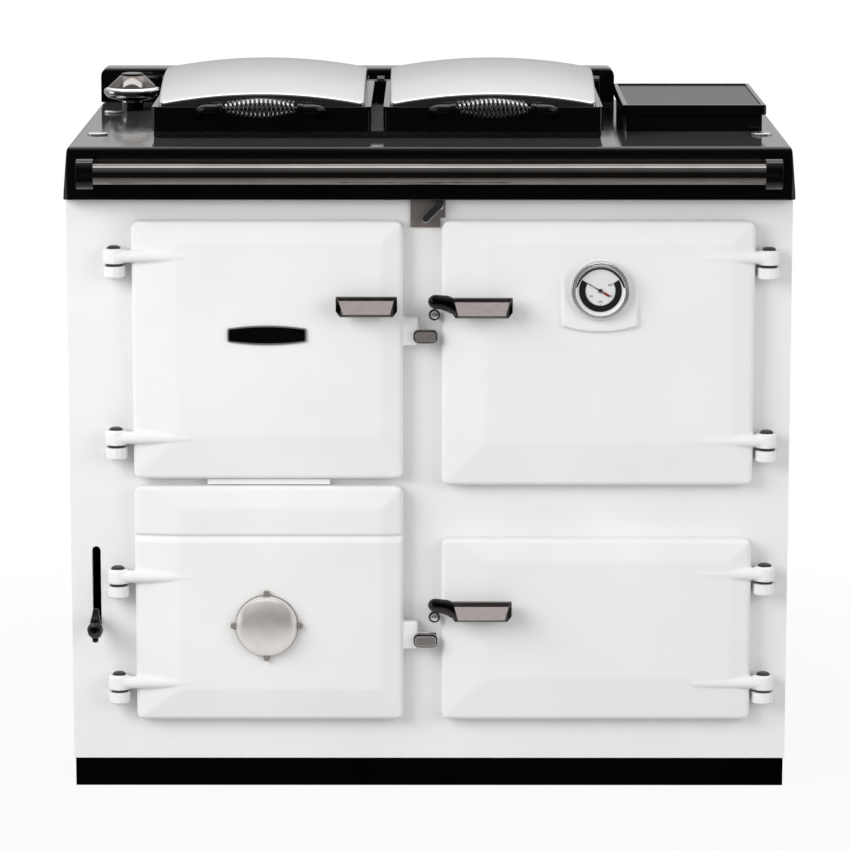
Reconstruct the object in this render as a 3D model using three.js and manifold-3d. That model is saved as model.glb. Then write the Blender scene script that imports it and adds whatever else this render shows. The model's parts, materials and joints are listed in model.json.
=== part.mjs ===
// A cast iron range cooker for solid fuel: a fire door over an ash door on the left, two ovens on the right,
// two insulated lids over one long hotplate, a flue box at the back and a towel rail along the front.
// Millimetres, +Z up, the front faces -Y. Distances back are counted from the front edge of the top plate
// until the last lines, which centre the whole cooker on its own extents.
import * as THREE from 'three';
import { mergeVertices } from 'three/addons/utils/BufferGeometryUtils.js';
import Module from 'manifold-3d';

const wasm = await Module();
wasm.setup();

// ---- Clearances ----
const seat = 0.3; // between a piece and what it rests on
const pinPlay = 0.6; // all round a pin in its bore
const swingPlay = 4; // round a plug, tongue or pan that swings or slides in its mouth

// ---- Heights, chained from the floor ----
const plinthHeight = 40;
const bottomLand = 60;
const ashDoorHeight = 333;
const doorGap = 10;
const fireDoorHeight = 360;
const topLand = 29;
const skirtHeight = 73;
const lowerDoorHeight = 258.5;
const mainDoorHeight = 369;

// ---- Widths, chained from the left side ----
const leftMargin = 66;
const leftHingeGap = 24;
const leftDoorWidth = 373;
const middleGap = 53;
const rightDoorWidth = 430;
const rightHingeGap = 19;
const rightMargin = 33;
const skirtOverhang = 2.5;

// ---- Depths, chained from the front ----
const setback = 25;
const plateThickness = 14;
const ovenDepth = 430;
const ovenWall = 5;
const backSpace = 186.5;
const backPanelThickness = 4;

// ---- Body shell ----
const sidePanelThickness = 6;
const plinthInset = 2;
const plinthWall = 25;
const plinthFloor = 8;
const mouthLand = 40;
const mouthCorner = 10;

// ---- Top plate and what stands on it ----
const topSlab = 12;
const skirtWall = 10;
const skirtFlare = 6;
const topEdgeRadius = 7;
const topCornerRadius = 14;
const upstandDepth = 51;
const upstandHeight = 52;
const upstandEndRadius = 12;
const upstandLeftInset = 3;
const frontLand = 109;
const rearLand = 117;
const sideLand = 113;
const lidGap = 17;
const flueGap = 31;
const flueCoverWidth = 203;
const rightLand = 24;
const plugRadius = 14;
const plugHeight = 2.5;
const plugInset = 34;
const frontPlugSetback = 160;
const rearPlugSetback = 464;

// ---- Hotplate and lids ----
const sealHeight = 10;
const sealWidth = 14;
const hotplateThickness = 20;
const hotplateFlange = 12;
const lidWallHeight = 34;
const lidCornerRadius = 9;
const lidRecess = 4;
const domeInset = 9;
const domeCorner = 3;
const domeRiseAcross = 14;
const domeRiseAlong = 32;
const hingeSetback = 31;
const hingeAxisHeight = 37;
const lidRodRadius = 6;
const lidKnuckleRadius = 11;
const lidKnuckleLength = 26;
const lidPostWidth = 11;

// ---- Spring handles of the lids ----
const handleStand = 39;
const handleAxisHeight = 45;
const coilLength = 102;
const coilTurns = 16;
const coilWire = 4;
const coilEndDiameter = 13.6;
const coilMiddleDiameter = 29;
const ferruleLength = 8;
const ferruleRadius = 7;
const handleRodRadius = 2.4;
const armSpread = 26;
const armRadius = 6.5;

// ---- Doors ----
const doorThickness = 28;
const doorCorner = 12;
const doorEdge = 4;
const bevelWidth = 62;
const bevelDrop = 8;
const softBevelWidth = 30;
const softBevelDrop = 5;
const plugDepth = 16;
const liningInset = 16;
const bandHeight = 68;
const grooveWidth = 10;
const grooveDepth = 5;
const ashBevelWidth = 46;
const ledgeWidth = 170;
const ledgeProud = 12;
const ledgePlay = 1;

// ---- Door hinges ----
const hingePinRadius = 9;
const hingePinProud = 5;
const pinChamfer = 2;
const knuckleRadius = 15.5;
const armHeight = 21;
const collarHeight = 3;
const collarRadius = 13;
const lugHeight = 16;
const lugFloor = 2;
const armReach = 85;
const armRootRadius = 9.5;
const armTipRadius = 7.5;
const fireHingeDrop = 33;
const fireHingeRise = 74;
const ashHingeDrop = 112;
const bottomHingeRise = 70;
const mainHingeDrop = 35;
const mainHingeRise = 79;
const lowerHingeDrop = 33.5;

// ---- Door handles, hooks and keepers ----
const gripLength = 84;
const gripHeight = 28;
const gripStand = 32;
const gripDepth = 14;
const gripPostRadius = 6;
const fireGripInset = 8;
const ovenGripInset = 13;
const fireGripDrop = 114.5;
const mainGripDrop = 116;
const lowerGripDrop = 96.5;
const hookRadius = 9;
const hookRise = 5;
const keeperSetout = 10;
const keeperRadius = 8;
const keeperLength = 32;

// ---- Latches on the left doors ----
const latchOffset = 30.6;
const latchKnobLength = 33;
const latchKnobHeight = 18;
const latchKnobDepth = 12;
const latchKnobCorner = 7;
const latchShaftRadius = 4;
const latchTongueLength = 22;
const latchTongueHeight = 7;
const latchTongueDepth = 6;
const latchNoseHeight = 16;
const latchLugHeight = 39;
const latchLugDepth = 20;
const latchDrop = 5.5;
const fireLatchDrop = 159;
const ashLatchDrop = 46.3;

// ---- Air spinwheel on the ash door ----
const wheelRadius = 43;
const wheelDepth = 24;
const wheelShell = 5;
const wheelLug = 8;
const wheelDrop = 195.5;
const wheelOffset = 3.5;
const airHoleRadius = 30;
const airHubRadius = 12;
const airSpokeWidth = 12;
const spindleRadius = 5;
const spindleNut = 6;
const wheelCollarRadius = 11;
const wheelCollarThickness = 3;

// ---- Thermometer on the main oven door ----
const bezelRadius = 40.75;
const dialRadius = 30;
const bezelDepth = 13;
const dialRecess = 6;
const glassThickness = 1.5;
const thermometerOffset = 2;
const thermometerDrop = 93.5;
const padWidth = 103;
const padDepth = 6;
const padDrop = 58.5;
const padFade = 30;
const pointerAngle = 150;
const pointerLength = 24;
const pointerTail = 15;
const pointerHubRadius = 3;

// ---- Towel rail ----
const railRadius = 14.25;
const railStand = 45;
const railDrop = 32;
const bracketInset = 21;
const bracketLength = 23;
const bracketHeight = 41;

// ---- Fire: chamber, grate, ash pan and the riddling linkage ----
const fireWall = 20;
const fireDepth = 330;
const fireFloor = 10;
const grateThickness = 12;
const grateBar = 12;
const grateSlots = 8;
const grateShaftRadius = 6;
const panWall = 2;
const panHeight = 75;
const panDepth = 270;
const panLipWidth = 80;
const panLipReach = 10;
const panLipHeight = 8;
const slotWidth = 12;
const slotHeight = 132;
const slotRise = 112;
const slotInset = 35;
const leverThickness = 6;
const leverHeight = 12;
const leverPivotSetback = 179;
const leverKnobStand = 35;
const leverKnobRadius = 11.5;
const leverKnobDrop = 44;
const leverKnobLength = 31;
const crankLength = 30;
const crankPinRadius = 4;
const linkWidth = 14;
const linkPlate = 6;
const linkPlay = 2;
const linkStand = 42;
const leverBossRadius = 14;
const leverBossReach = 21;
const gratePlugDepth = 10;

// ---- Ovens ----
const ovenLip = 10;
const shelfThickness = 4;
const shelfSlots = 10;
const runnerWidth = 8;
const runnerHeight = 5;
const runnerSetback = 30;
const shelfSetback = 40;
const shelfRim = 12;
const shelfPlay = 2;
const shelfRise = 110;

// ---- Damper ----
const damperPlateWidth = 48;
const damperPlateHeight = 40;
const damperPlateThickness = 4;
const damperPlateLeft = 10;
const damperHubInset = 8;
const damperHubDrop = 8;
const damperHubRadius = 7;
const damperReach = 27;
const damperArmWidth = 10;
const damperShaftRadius = 4;
const damperShaftLength = 80;
const damperHubLength = 9;
const damperFlapWidth = 90;
const damperFlapHeight = 50;

// ---- Flue box, cover and outlet ----
const flueBoxHeight = 24;
const flueBoxInset = 6;
const flueWall = 8;
const coverThickness = 14;
const coverRim = 7;
const coverRecess = 4;
const flueFront = 195;
const flueDepth = 325;
const flueHingeRadius = 6;
const flueHingeSetback = 10;
const flueHingePin = 3;
const flueKnuckle = 12;
const outletBore = 62.5;
const outletWall = 6;
const outletFlange = 20;
const outletReach = 40;
const outletDrop = 170;

// ---- Thermostat dial ----
const dialInset = 59;
const dialSetback = 116;
const saucerRadius = 42.5;
const dialFootRadius = 15.5;
const dialFootHeight = 12;
const saucerHeight = 24;
const dialConeHeight = 14;
const dialCapHeight = 15;
const dialStemRadius = 6;

// ---- Places that follow from the sizes ----
const bodyWidth = leftMargin + leftHingeGap + leftDoorWidth + middleGap + rightDoorWidth + rightHingeGap + rightMargin;
const bodyLeft = -bodyWidth / 2;
const bodyRight = bodyWidth / 2;
const leftPinX = bodyLeft + leftMargin;
const leftDoorLeft = leftPinX + leftHingeGap;
const leftDoorRight = leftDoorLeft + leftDoorWidth;
const rightDoorLeft = leftDoorRight + middleGap;
const rightDoorRight = rightDoorLeft + rightDoorWidth;
const rightPinX = rightDoorRight + rightHingeGap;

const doorBottom = plinthHeight + bottomLand;
const ashTop = doorBottom + ashDoorHeight;
const fireBottom = ashTop + doorGap;
const doorTop = fireBottom + fireDoorHeight;
const bodyTop = doorTop + topLand;
const hob = bodyTop + skirtHeight;

const plateFront = setback;
const plateBack = plateFront + plateThickness;
const doorBack = plateFront - seat;
const doorFront = doorBack - doorThickness;
const pinY = plateFront - knuckleRadius;
const ovenBack = plateBack + seat + ovenDepth + ovenWall;
const panelFront = ovenBack + backSpace;
const panelBack = panelFront + backPanelThickness;
const topBack = panelBack + skirtOverhang;

const lidFront = frontLand;
const lidBack = topBack - upstandDepth - rearLand;
const lidsLeft = bodyLeft + sideLand;
const flueCoverRight = bodyRight - rightLand;
const flueCoverLeft = flueCoverRight - flueCoverWidth;
const lidWidth = (flueCoverLeft - flueGap - lidsLeft - lidGap) / 2;
const lidsRight = flueCoverLeft - flueGap;
const lidBottom = hob + sealHeight + seat;
const lidWallTop = hob + sealHeight + lidWallHeight;
const lidAxisY = lidBack + hingeSetback;
const lidAxisZ = hob + hingeAxisHeight;
const handleY = lidFront - handleStand;
const handleZ = hob + handleAxisHeight;

const doors = {
  fire: {
    left: leftDoorLeft, right: leftDoorRight, bottom: fireBottom, top: doorTop, pinX: leftPinX,
    pinTops: [doorTop - fireHingeDrop, fireBottom + fireHingeRise],
  },
  ash: {
    left: leftDoorLeft, right: leftDoorRight, bottom: doorBottom, top: ashTop, pinX: leftPinX,
    pinTops: [ashTop - ashHingeDrop, doorBottom + bottomHingeRise],
  },
  main_oven: {
    left: rightDoorLeft, right: rightDoorRight, bottom: doorTop - mainDoorHeight, top: doorTop, pinX: rightPinX,
    pinTops: [doorTop - mainHingeDrop, doorTop - mainDoorHeight + mainHingeRise],
  },
  lower_oven: {
    left: rightDoorLeft, right: rightDoorRight, bottom: doorBottom, top: doorBottom + lowerDoorHeight, pinX: rightPinX,
    pinTops: [doorBottom + lowerDoorHeight - lowerHingeDrop, doorBottom + bottomHingeRise],
  },
};

// The opening in the front plate behind a door.
const mouthOf = (door) => ({
  left: door.left + mouthLand, right: door.right - mouthLand,
  bottom: door.bottom + mouthLand, top: door.top - mouthLand,
});
const fireMouth = mouthOf(doors.fire);
const ashMouth = mouthOf(doors.ash);

const latchX = leftDoorRight + latchOffset;
const wheelX = (leftDoorLeft + leftDoorRight) / 2 - wheelOffset;
const wheelZ = ashTop - wheelDrop;
const thermometerX = (rightDoorLeft + rightDoorRight) / 2 + thermometerOffset;
const thermometerZ = doorTop - thermometerDrop;
const keeperX = rightDoorLeft - keeperSetout;
const gripHeights = {
  fire: doorTop - fireGripDrop,
  main_oven: doorTop - mainGripDrop,
  lower_oven: doors.lower_oven.top - lowerGripDrop,
};
// The ash door's latch sits under the keeper of the lower oven's handle.
const latchHeights = { fire: doorTop - fireLatchDrop, ash: gripHeights.lower_oven - ashLatchDrop };

const slotX = bodyLeft + slotInset;
const slotBottom = doorBottom + slotRise;
const pivotY = plateFront + leverPivotSetback;
const pivotZ = slotBottom + slotHeight / 2;
const grateZ = (fireMouth.bottom + ashMouth.top) / 2;
const chamberLeft = fireMouth.left;
const chamberRight = fireMouth.right;
const chamberFront = plateBack + seat;
const chamberBack = chamberFront + fireDepth;
const linkX = chamberLeft - fireWall - linkStand;
const crankY = pivotY + crankLength;

const damperLeft = leftDoorRight + damperPlateLeft;
const damperX = damperLeft + damperPlateWidth - damperHubInset;
const damperZ = bodyTop - damperHubDrop;

const flueBack = flueFront + flueDepth;
const flueX = (flueCoverLeft + flueCoverRight) / 2;
const flueAxisY = flueBack + flueHingeSetback;
const flueAxisZ = hob + flueBoxHeight + coverThickness / 2;
const outletZ = hob - outletDrop;
const outletBack = panelBack + outletReach;

const dialX = bodyLeft + dialInset;
const dialY = topBack - upstandDepth - dialSetback;
const railY = -railStand;
const railZ = hob - railDrop;

// ---- Directions ----
const TO_RIGHT = new THREE.Vector3(1, 0, 0);
const TO_LEFT = new THREE.Vector3(-1, 0, 0);
const TO_BACK = new THREE.Vector3(0, 1, 0);
const TO_FRONT = new THREE.Vector3(0, -1, 0);
const UP = new THREE.Vector3(0, 0, 1);
const LATHE_AXIS = new THREE.Vector3(0, 1, 0);

// ---- Solids ----

// A closed three.js geometry as a solid that can be cut and joined.
function solid(geometry) {
  const bare = geometry.clone();
  bare.deleteAttribute('normal');
  bare.deleteAttribute('uv');
  const merged = mergeVertices(bare, 1e-3);
  const corners = merged.index.array;
  const triangles = [];
  for (let i = 0; i < corners.length; i += 3) {
    const [a, b, c] = [corners[i], corners[i + 1], corners[i + 2]];
    if (a !== b && b !== c && c !== a) triangles.push(a, b, c);
  }
  return new wasm.Manifold(new wasm.Mesh({
    numProp: 3,
    vertProperties: new Float32Array(merged.attributes.position.array),
    triVerts: new Uint32Array(triangles),
  }));
}

const join = (first, ...others) => others.reduce((sum, other) => sum.add(other), first);
const cut = (first, ...others) => others.reduce((rest, other) => rest.subtract(other), first);
const meet = (first, ...others) => others.reduce((common, other) => common.intersect(other), first);

// A block between two values on each axis.
function box([x0, x1], [y0, y1], [z0, z1]) {
  const geometry = new THREE.BoxGeometry(x1 - x0, y1 - y0, z1 - z0);
  return solid(geometry.translate((x0 + x1) / 2, (y0 + y1) / 2, (z0 + z1) / 2));
}

// A shape extruded along an axis: drawn in X and Z for y, in Y and Z for x, and in X and Y for z.
function prism(shape, axis, from, to, curveSegments = 2) {
  const geometry = new THREE.ExtrudeGeometry(shape, { depth: to - from, bevelEnabled: false, curveSegments });
  const turns = {
    x: new THREE.Matrix4().makeBasis(TO_BACK, UP, TO_RIGHT).setPosition(from, 0, 0),
    y: new THREE.Matrix4().makeBasis(TO_RIGHT, UP, TO_FRONT).setPosition(0, to, 0),
    z: new THREE.Matrix4().setPosition(0, 0, from),
  };
  return solid(geometry.applyMatrix4(turns[axis]));
}

const polygon = (points) => new THREE.Shape(points.map(([u, v]) => new THREE.Vector2(u, v)));

// A rectangle with round corners, whose radii start at the lower left and go round anticlockwise.
function rounded(u0, u1, v0, v1, radii) {
  const [lowLeft, lowRight, highRight, highLeft] = Array.isArray(radii) ? radii : [radii, radii, radii, radii];
  const shape = new THREE.Shape();
  shape.moveTo(u0 + lowLeft, v0);
  shape.lineTo(u1 - lowRight, v0);
  if (lowRight) shape.absarc(u1 - lowRight, v0 + lowRight, lowRight, -Math.PI / 2, 0);
  shape.lineTo(u1, v1 - highRight);
  if (highRight) shape.absarc(u1 - highRight, v1 - highRight, highRight, 0, Math.PI / 2);
  shape.lineTo(u0 + highLeft, v1);
  if (highLeft) shape.absarc(u0 + highLeft, v1 - highLeft, highLeft, Math.PI / 2, Math.PI);
  shape.lineTo(u0, v0 + lowLeft);
  if (lowLeft) shape.absarc(u0 + lowLeft, v0 + lowLeft, lowLeft, Math.PI, Math.PI * 1.5);
  return shape;
}

// A profile of [radius, distance] points turned about the line from origin in a direction. The profile
// starts and ends on the line.
function turned(profile, origin, direction, segments = 12) {
  const geometry = new THREE.LatheGeometry(profile.map(([r, d]) => new THREE.Vector2(r, d)), segments);
  geometry.applyQuaternion(new THREE.Quaternion().setFromUnitVectors(LATHE_AXIS, direction));
  return solid(geometry.translate(...origin));
}

// A plain round bar from one point, along a direction.
const rod = (radius, length, origin, direction, segments = 12) =>
  turned([[0, 0], [radius, 0], [radius, length], [0, length]], origin, direction, segments);

// A bar with round ends between two points.
function capsule([u0, v0], [u1, v1], radius) {
  const angle = Math.atan2(v1 - v0, u1 - u0);
  const shape = new THREE.Shape();
  shape.absarc(u1, v1, radius, angle - Math.PI / 2, angle + Math.PI / 2);
  shape.absarc(u0, v0, radius, angle + Math.PI / 2, angle + Math.PI * 1.5);
  return shape;
}

// A tube or bar of a given section along a curve.
function swept(section, curve, steps) {
  return solid(new THREE.ExtrudeGeometry(section, { extrudePath: curve, steps, curveSegments: 4, bevelEnabled: false }));
}

function disc(radius) {
  const shape = new THREE.Shape();
  shape.absarc(0, 0, radius, 0, Math.PI * 2);
  return shape;
}

// ---- Meshes ----
const FINISHES = {
  whiteEnamel: { color: 0xf2f2f0, roughness: 0.12, metalness: 0 },
  blackEnamel: { color: 0x0b0b0c, roughness: 0.08, metalness: 0 },
  chrome: { color: 0xdcdddf, roughness: 0.06, metalness: 1 },
  darkNickel: { color: 0x6d6664, roughness: 0.2, metalness: 1 },
  steel: { color: 0x8f8f90, roughness: 0.35, metalness: 1 },
  castIron: { color: 0x3c3b3a, roughness: 0.65, metalness: 0.5 },
  dialWhite: { color: 0xf6f6f6, roughness: 0.4, metalness: 0 },
  glass: { color: 0xffffff, roughness: 0.02, metalness: 0, transparent: true, opacity: 0.25 },
};

const cooker = new THREE.Group();

function place(name, shape, finish, group = cooker) {
  const mesh = shape.getMesh();
  const geometry = new THREE.BufferGeometry();
  geometry.setAttribute('position', new THREE.BufferAttribute(new Float32Array(mesh.vertProperties), 3));
  geometry.setIndex(new THREE.BufferAttribute(new Uint32Array(mesh.triVerts), 1));
  geometry.computeVertexNormals();
  const part = new THREE.Mesh(geometry, new THREE.MeshStandardMaterial(FINISHES[finish]));
  part.name = name;
  group.add(part);
  return part;
}

// ---- Body shell ----
function plinth() {
  const across = [bodyLeft + plinthInset, bodyRight - plinthInset];
  const along = [plateFront + plinthInset, panelBack - plinthInset];
  const hollow = box(
    [across[0] + plinthWall, across[1] - plinthWall],
    [along[0] + plinthWall, along[1] - plinthWall],
    [-1, plinthHeight - plinthFloor],
  );
  return cut(box(across, along, [0, plinthHeight]), hollow);
}

// The heights that one hinge takes up, from the top of its pin downwards.
function hingeLevels(pinTop) {
  const armTop = pinTop - hingePinProud;
  const armBottom = armTop - armHeight;
  const collarTop = armBottom - seat;
  const lugTop = collarTop - collarHeight - seat;
  return { pinTop, armTop, armBottom, collarTop, lugTop, lugBottom: lugTop - lugHeight };
}

function hingeLug(pinX, pinTop) {
  const { lugTop, lugBottom } = hingeLevels(pinTop);
  const chamfer = 2;
  const barrel = turned(
    [[0, 0], [knuckleRadius - chamfer, 0], [knuckleRadius, chamfer], [knuckleRadius, lugHeight], [0, lugHeight]],
    [pinX, pinY, lugBottom], UP,
  );
  const web = box([pinX - knuckleRadius, pinX + knuckleRadius], [pinY, plateFront + 1], [lugBottom + chamfer, lugTop]);
  return join(barrel, web);
}

const hingeBore = (pinX, pinTop) => {
  const { lugTop, lugBottom } = hingeLevels(pinTop);
  return rod(hingePinRadius + pinPlay, lugTop - lugBottom, [pinX, pinY, lugBottom + lugFloor], UP);
};

function hingePin(pinX, pinTop) {
  const { collarTop, lugTop, lugBottom } = hingeLevels(pinTop);
  const foot = lugBottom + lugFloor + seat;
  const up = (z) => z - foot;
  const profile = [
    [0, 0], [hingePinRadius, 0], [hingePinRadius, up(lugTop + seat)], [collarRadius, up(lugTop + seat)],
    [collarRadius, up(collarTop)], [hingePinRadius, up(collarTop)], [hingePinRadius, up(pinTop - pinChamfer)],
    [hingePinRadius - pinChamfer, up(pinTop)], [0, up(pinTop)],
  ];
  return turned(profile, [pinX, pinY, foot], UP);
}

function latchSlot(z) {
  const half = latchTongueLength / 2 + swingPlay;
  const high = latchTongueHeight / 2 + 1.5;
  return prism(rounded(latchX - half, latchX + half, z - high, z + high, 2), 'y', plateFront - 1, plateBack + 1);
}

function frontPlate() {
  const all = Object.values(doors);
  const mouths = all.map(mouthOf).map((m) =>
    prism(rounded(m.left, m.right, m.bottom, m.top, mouthCorner), 'y', plateFront - 1, plateBack + 1));
  const hinges = all.flatMap((door) => door.pinTops.map((pinTop) => [door.pinX, pinTop]));
  const riddlingSlot = prism(
    capsule([slotX, slotBottom + slotWidth / 2], [slotX, slotBottom + slotHeight - slotWidth / 2], slotWidth / 2),
    'y', plateFront - 1, plateBack + 1,
  );
  const damperHole = rod(damperShaftRadius + pinPlay, plateThickness + 2, [damperX, plateFront - 1, damperZ], TO_BACK);
  const plate = cut(
    box([bodyLeft, bodyRight], [plateFront, plateBack], [plinthHeight + seat, bodyTop - seat]),
    ...mouths, riddlingSlot, damperHole, ...Object.values(latchHeights).map(latchSlot),
  );
  const lugged = join(plate, ledge(), ...hinges.map(([x, top]) => hingeLug(x, top)));
  return cut(lugged, ...hinges.map(([x, top]) => hingeBore(x, top)));
}

// The ledge that closes the middle of the gap between the two left doors.
function ledge() {
  const middle = (leftDoorLeft + leftDoorRight) / 2;
  return box([middle - ledgeWidth / 2, middle + ledgeWidth / 2], [plateFront - ledgeProud, plateFront + 1],
    [ashTop + ledgePlay, fireBottom - ledgePlay]);
}

const sidePanel = (x0, x1) =>
  box([x0, x1], [plateBack + seat, panelFront - seat], [plinthHeight + seat, bodyTop - seat]);

function backPanel() {
  const sheet = box([bodyLeft, bodyRight], [panelFront, panelBack], [plinthHeight + seat, bodyTop - seat]);
  return cut(sheet, rod(outletBore, backPanelThickness + 2, [flueX, panelFront - 1, outletZ], TO_BACK, 28));
}

// ---- Top plate ----
function topPlate() {
  const half = bodyWidth / 2 + skirtOverhang;
  const innerHalf = bodyWidth / 2 - sidePanelThickness;
  const front = new THREE.Shape();
  front.moveTo(-half, bodyTop);
  front.lineTo(half, bodyTop);
  front.lineTo(half - skirtFlare, hob - topEdgeRadius);
  front.quadraticCurveTo(half - skirtFlare, hob, half - skirtFlare - topEdgeRadius, hob);
  front.lineTo(-half + skirtFlare + topEdgeRadius, hob);
  front.quadraticCurveTo(-half + skirtFlare, hob, -half + skirtFlare, hob - topEdgeRadius);
  const outer = meet(
    prism(front, 'y', 0, topBack),
    prism(rounded(0, topBack, bodyTop, hob, [2, 2, topEdgeRadius, topEdgeRadius]), 'x', -half, half),
    prism(rounded(-half, half, 0, topBack, topCornerRadius), 'z', bodyTop, hob),
  );
  const under = hob - topSlab;
  const hollow = join(
    box([-innerHalf + skirtFlare, innerHalf - skirtFlare], [skirtWall, topBack - skirtWall], [bodyTop + topSlab, under]),
    box([-innerHalf + skirtFlare, innerHalf - skirtFlare], [plateBack, topBack - skirtWall], [bodyTop - 1, under]),
  );
  const hotplateHole = prism(
    rounded(lidsLeft + sealWidth + hotplateFlange, lidsRight - sealWidth - hotplateFlange,
      lidFront + sealWidth + hotplateFlange, lidBack - sealWidth - hotplateFlange, lidCornerRadius),
    'z', under - 1, hob + 1,
  );
  const flueHole = box(
    [flueCoverLeft + flueBoxInset + flueWall, flueCoverRight - flueBoxInset - flueWall],
    [flueFront + flueBoxInset + flueWall, flueBack - flueBoxInset - flueWall], [under - 1, hob + 1],
  );
  const plugPlaces = [
    [bodyLeft + plugInset, frontPlugSetback], [bodyLeft + plugInset, rearPlugSetback],
    [bodyRight - plugInset, frontPlugSetback],
  ];
  const plugs = plugPlaces.map(([x, y]) =>
    turned([[0, -1], [plugRadius, -1], [plugRadius, plugHeight - 1], [plugRadius - 2, plugHeight], [0, plugHeight]],
      [x, y, hob], UP));
  const foot = rod(dialFootRadius, dialFootHeight + 1, [dialX, dialY, hob - 1], UP);
  const stem = rod(dialStemRadius, dialFootHeight + saucerHeight, [dialX, dialY, hob], UP);
  return join(cut(outer, hollow, hotplateHole, flueHole), ...plugs, foot, stem);
}

function rearUpstand() {
  const left = bodyLeft + upstandLeftInset;
  const right = flueCoverLeft + flueBoxInset + seat;
  const front = topBack - upstandDepth;
  const [bottom, top] = [hob + seat, hob + upstandHeight];
  return meet(
    prism(rounded(left, right, bottom, top, [0, 0, upstandEndRadius, upstandEndRadius]), 'y', front, topBack),
    prism(rounded(front, topBack, bottom, top, [0, 0, 6, 6]), 'x', left, right),
  );
}

// ---- Towel rail ----
const railEnd = bodyRight - bracketInset;

function railBracket(inner, outer) {
  const y0 = railY - railRadius;
  const shape = rounded(y0, -seat, railZ - bracketHeight / 2, railZ + bracketHeight / 2, [14, 3, 3, 14]);
  const block = prism(shape, 'x', inner, outer);
  const [from, length] = inner > 0 ? [inner - 1, bracketLength - 4] : [outer - bracketLength + 5, bracketLength - 4];
  return cut(block, rod(railRadius + pinPlay, length, [from, railY, railZ], TO_RIGHT));
}

// ---- Hotplate and lids ----
function hotplate() {
  const play = 1;
  const flange = prism(
    rounded(lidsLeft + sealWidth + play, lidsRight - sealWidth - play,
      lidFront + sealWidth + play, lidBack - sealWidth - play, lidCornerRadius),
    'z', hob + seat, hob + sealHeight - seat,
  );
  const inset = sealWidth + hotplateFlange + play;
  const body = prism(
    rounded(lidsLeft + inset, lidsRight - inset, lidFront + inset, lidBack - inset, lidCornerRadius),
    'z', hob + sealHeight - hotplateThickness, hob + sealHeight - seat,
  );
  return join(flange, body);
}

function hotplateSeal() {
  const ring = prism(rounded(lidsLeft + 2, lidsRight - 2, lidFront + 2, lidBack - 2, lidCornerRadius),
    'z', hob + seat, hob + sealHeight);
  const hole = prism(
    rounded(lidsLeft + sealWidth, lidsRight - sealWidth, lidFront + sealWidth, lidBack - sealWidth, lidCornerRadius),
    'z', hob - 1, hob + sealHeight + 1,
  );
  return cut(ring, hole);
}

const lids = [
  { name: 'left_lid', left: lidsLeft, right: lidsLeft + lidWidth },
  { name: 'right_lid', left: lidsRight - lidWidth, right: lidsRight },
];

function lidBase({ left, right }) {
  const shell = prism(rounded(left, right, lidFront, lidBack, lidCornerRadius), 'z', lidBottom, lidWallTop);
  const lining = prism(
    rounded(left + sealWidth, right - sealWidth, lidFront + sealWidth, lidBack - sealWidth, lidCornerRadius),
    'z', lidBottom - 1, lidBottom + lidRecess,
  );
  const knuckles = knuckleSpans(left, right).map(([x0, x1]) => {
    const arm = box([x0, x1], [lidBack - 1, lidAxisY], [lidAxisZ - lidKnuckleRadius, lidWallTop]);
    return join(arm, rod(lidKnuckleRadius, x1 - x0, [x0, lidAxisY, lidAxisZ], TO_RIGHT));
  });
  const bore = rod(lidRodRadius + pinPlay, right - left + 2, [left - 1, lidAxisY, lidAxisZ], TO_RIGHT);
  return cut(join(cut(shell, lining), ...knuckles), bore);
}

// Each lid hangs on the rod at two knuckles, a little in from its sides.
const knuckleSpans = (left, right) => [
  [left + lidCornerRadius, left + lidCornerRadius + lidKnuckleLength],
  [right - lidCornerRadius - lidKnuckleLength, right - lidCornerRadius],
];

// The pressed cover of a lid is crowned both ways and stands on vertical walls.
function lidDome({ left, right }) {
  const [x0, x1] = [left + domeInset, right - domeInset];
  const [y0, y1] = [lidFront + domeInset, lidBack - domeInset];
  const bottom = lidWallTop + seat;
  const geometry = new THREE.BoxGeometry(x1 - x0, y1 - y0, 1, 8, 12, 1);
  const position = geometry.attributes.position;
  for (let i = 0; i < position.count; i++) {
    const u = position.getX(i) / ((x1 - x0) / 2);
    const v = position.getY(i) / ((y1 - y0) / 2);
    const crown = domeCorner + domeRiseAcross * (1 - u * u) + domeRiseAlong * (1 - v * v);
    position.setZ(i, position.getZ(i) > 0 ? bottom + crown : bottom);
  }
  const dome = solid(geometry.translate((x0 + x1) / 2, (y0 + y1) / 2, 0));
  const crest = bottom + domeCorner + domeRiseAcross + domeRiseAlong;
  const corners = prism(rounded(x0, x1, y0, y1, lidCornerRadius), 'z', bottom - 1, crest + 1);
  return meet(dome, corners);
}

function lidHandleBar({ left, right }) {
  const middle = (left + right) / 2;
  const barEnd = coilLength / 2 + seat;
  const ferruleEnd = barEnd + ferruleLength;
  const footZ = lidWallTop - armRadius - 4;
  const arms = [-1, 1].map((side) => {
    const foot = new THREE.Vector3(middle + side * (ferruleEnd + armSpread), lidFront - seat, footZ);
    const bend = new THREE.Vector3(foot.x, handleY, handleZ);
    const end = new THREE.Vector3(middle + side * ferruleEnd, handleY, handleZ);
    return swept(disc(armRadius), new THREE.QuadraticBezierCurve3(foot, bend, end), 6);
  });
  const ferrules = [-1, 1].map((side) =>
    rod(ferruleRadius, ferruleLength + 1, [middle + side * (barEnd + ferruleLength / 2) - (ferruleLength + 1) / 2,
      handleY, handleZ], TO_RIGHT));
  const bar = rod(handleRodRadius, 2 * barEnd + 4, [middle - barEnd - 2, handleY, handleZ], TO_RIGHT);
  const wall = box([left, right], [lidFront - seat, lidFront + 2 * armRadius], [lidBottom, handleZ + armRadius]);
  return cut(join(bar, ...ferrules, ...arms), wall);
}

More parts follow.
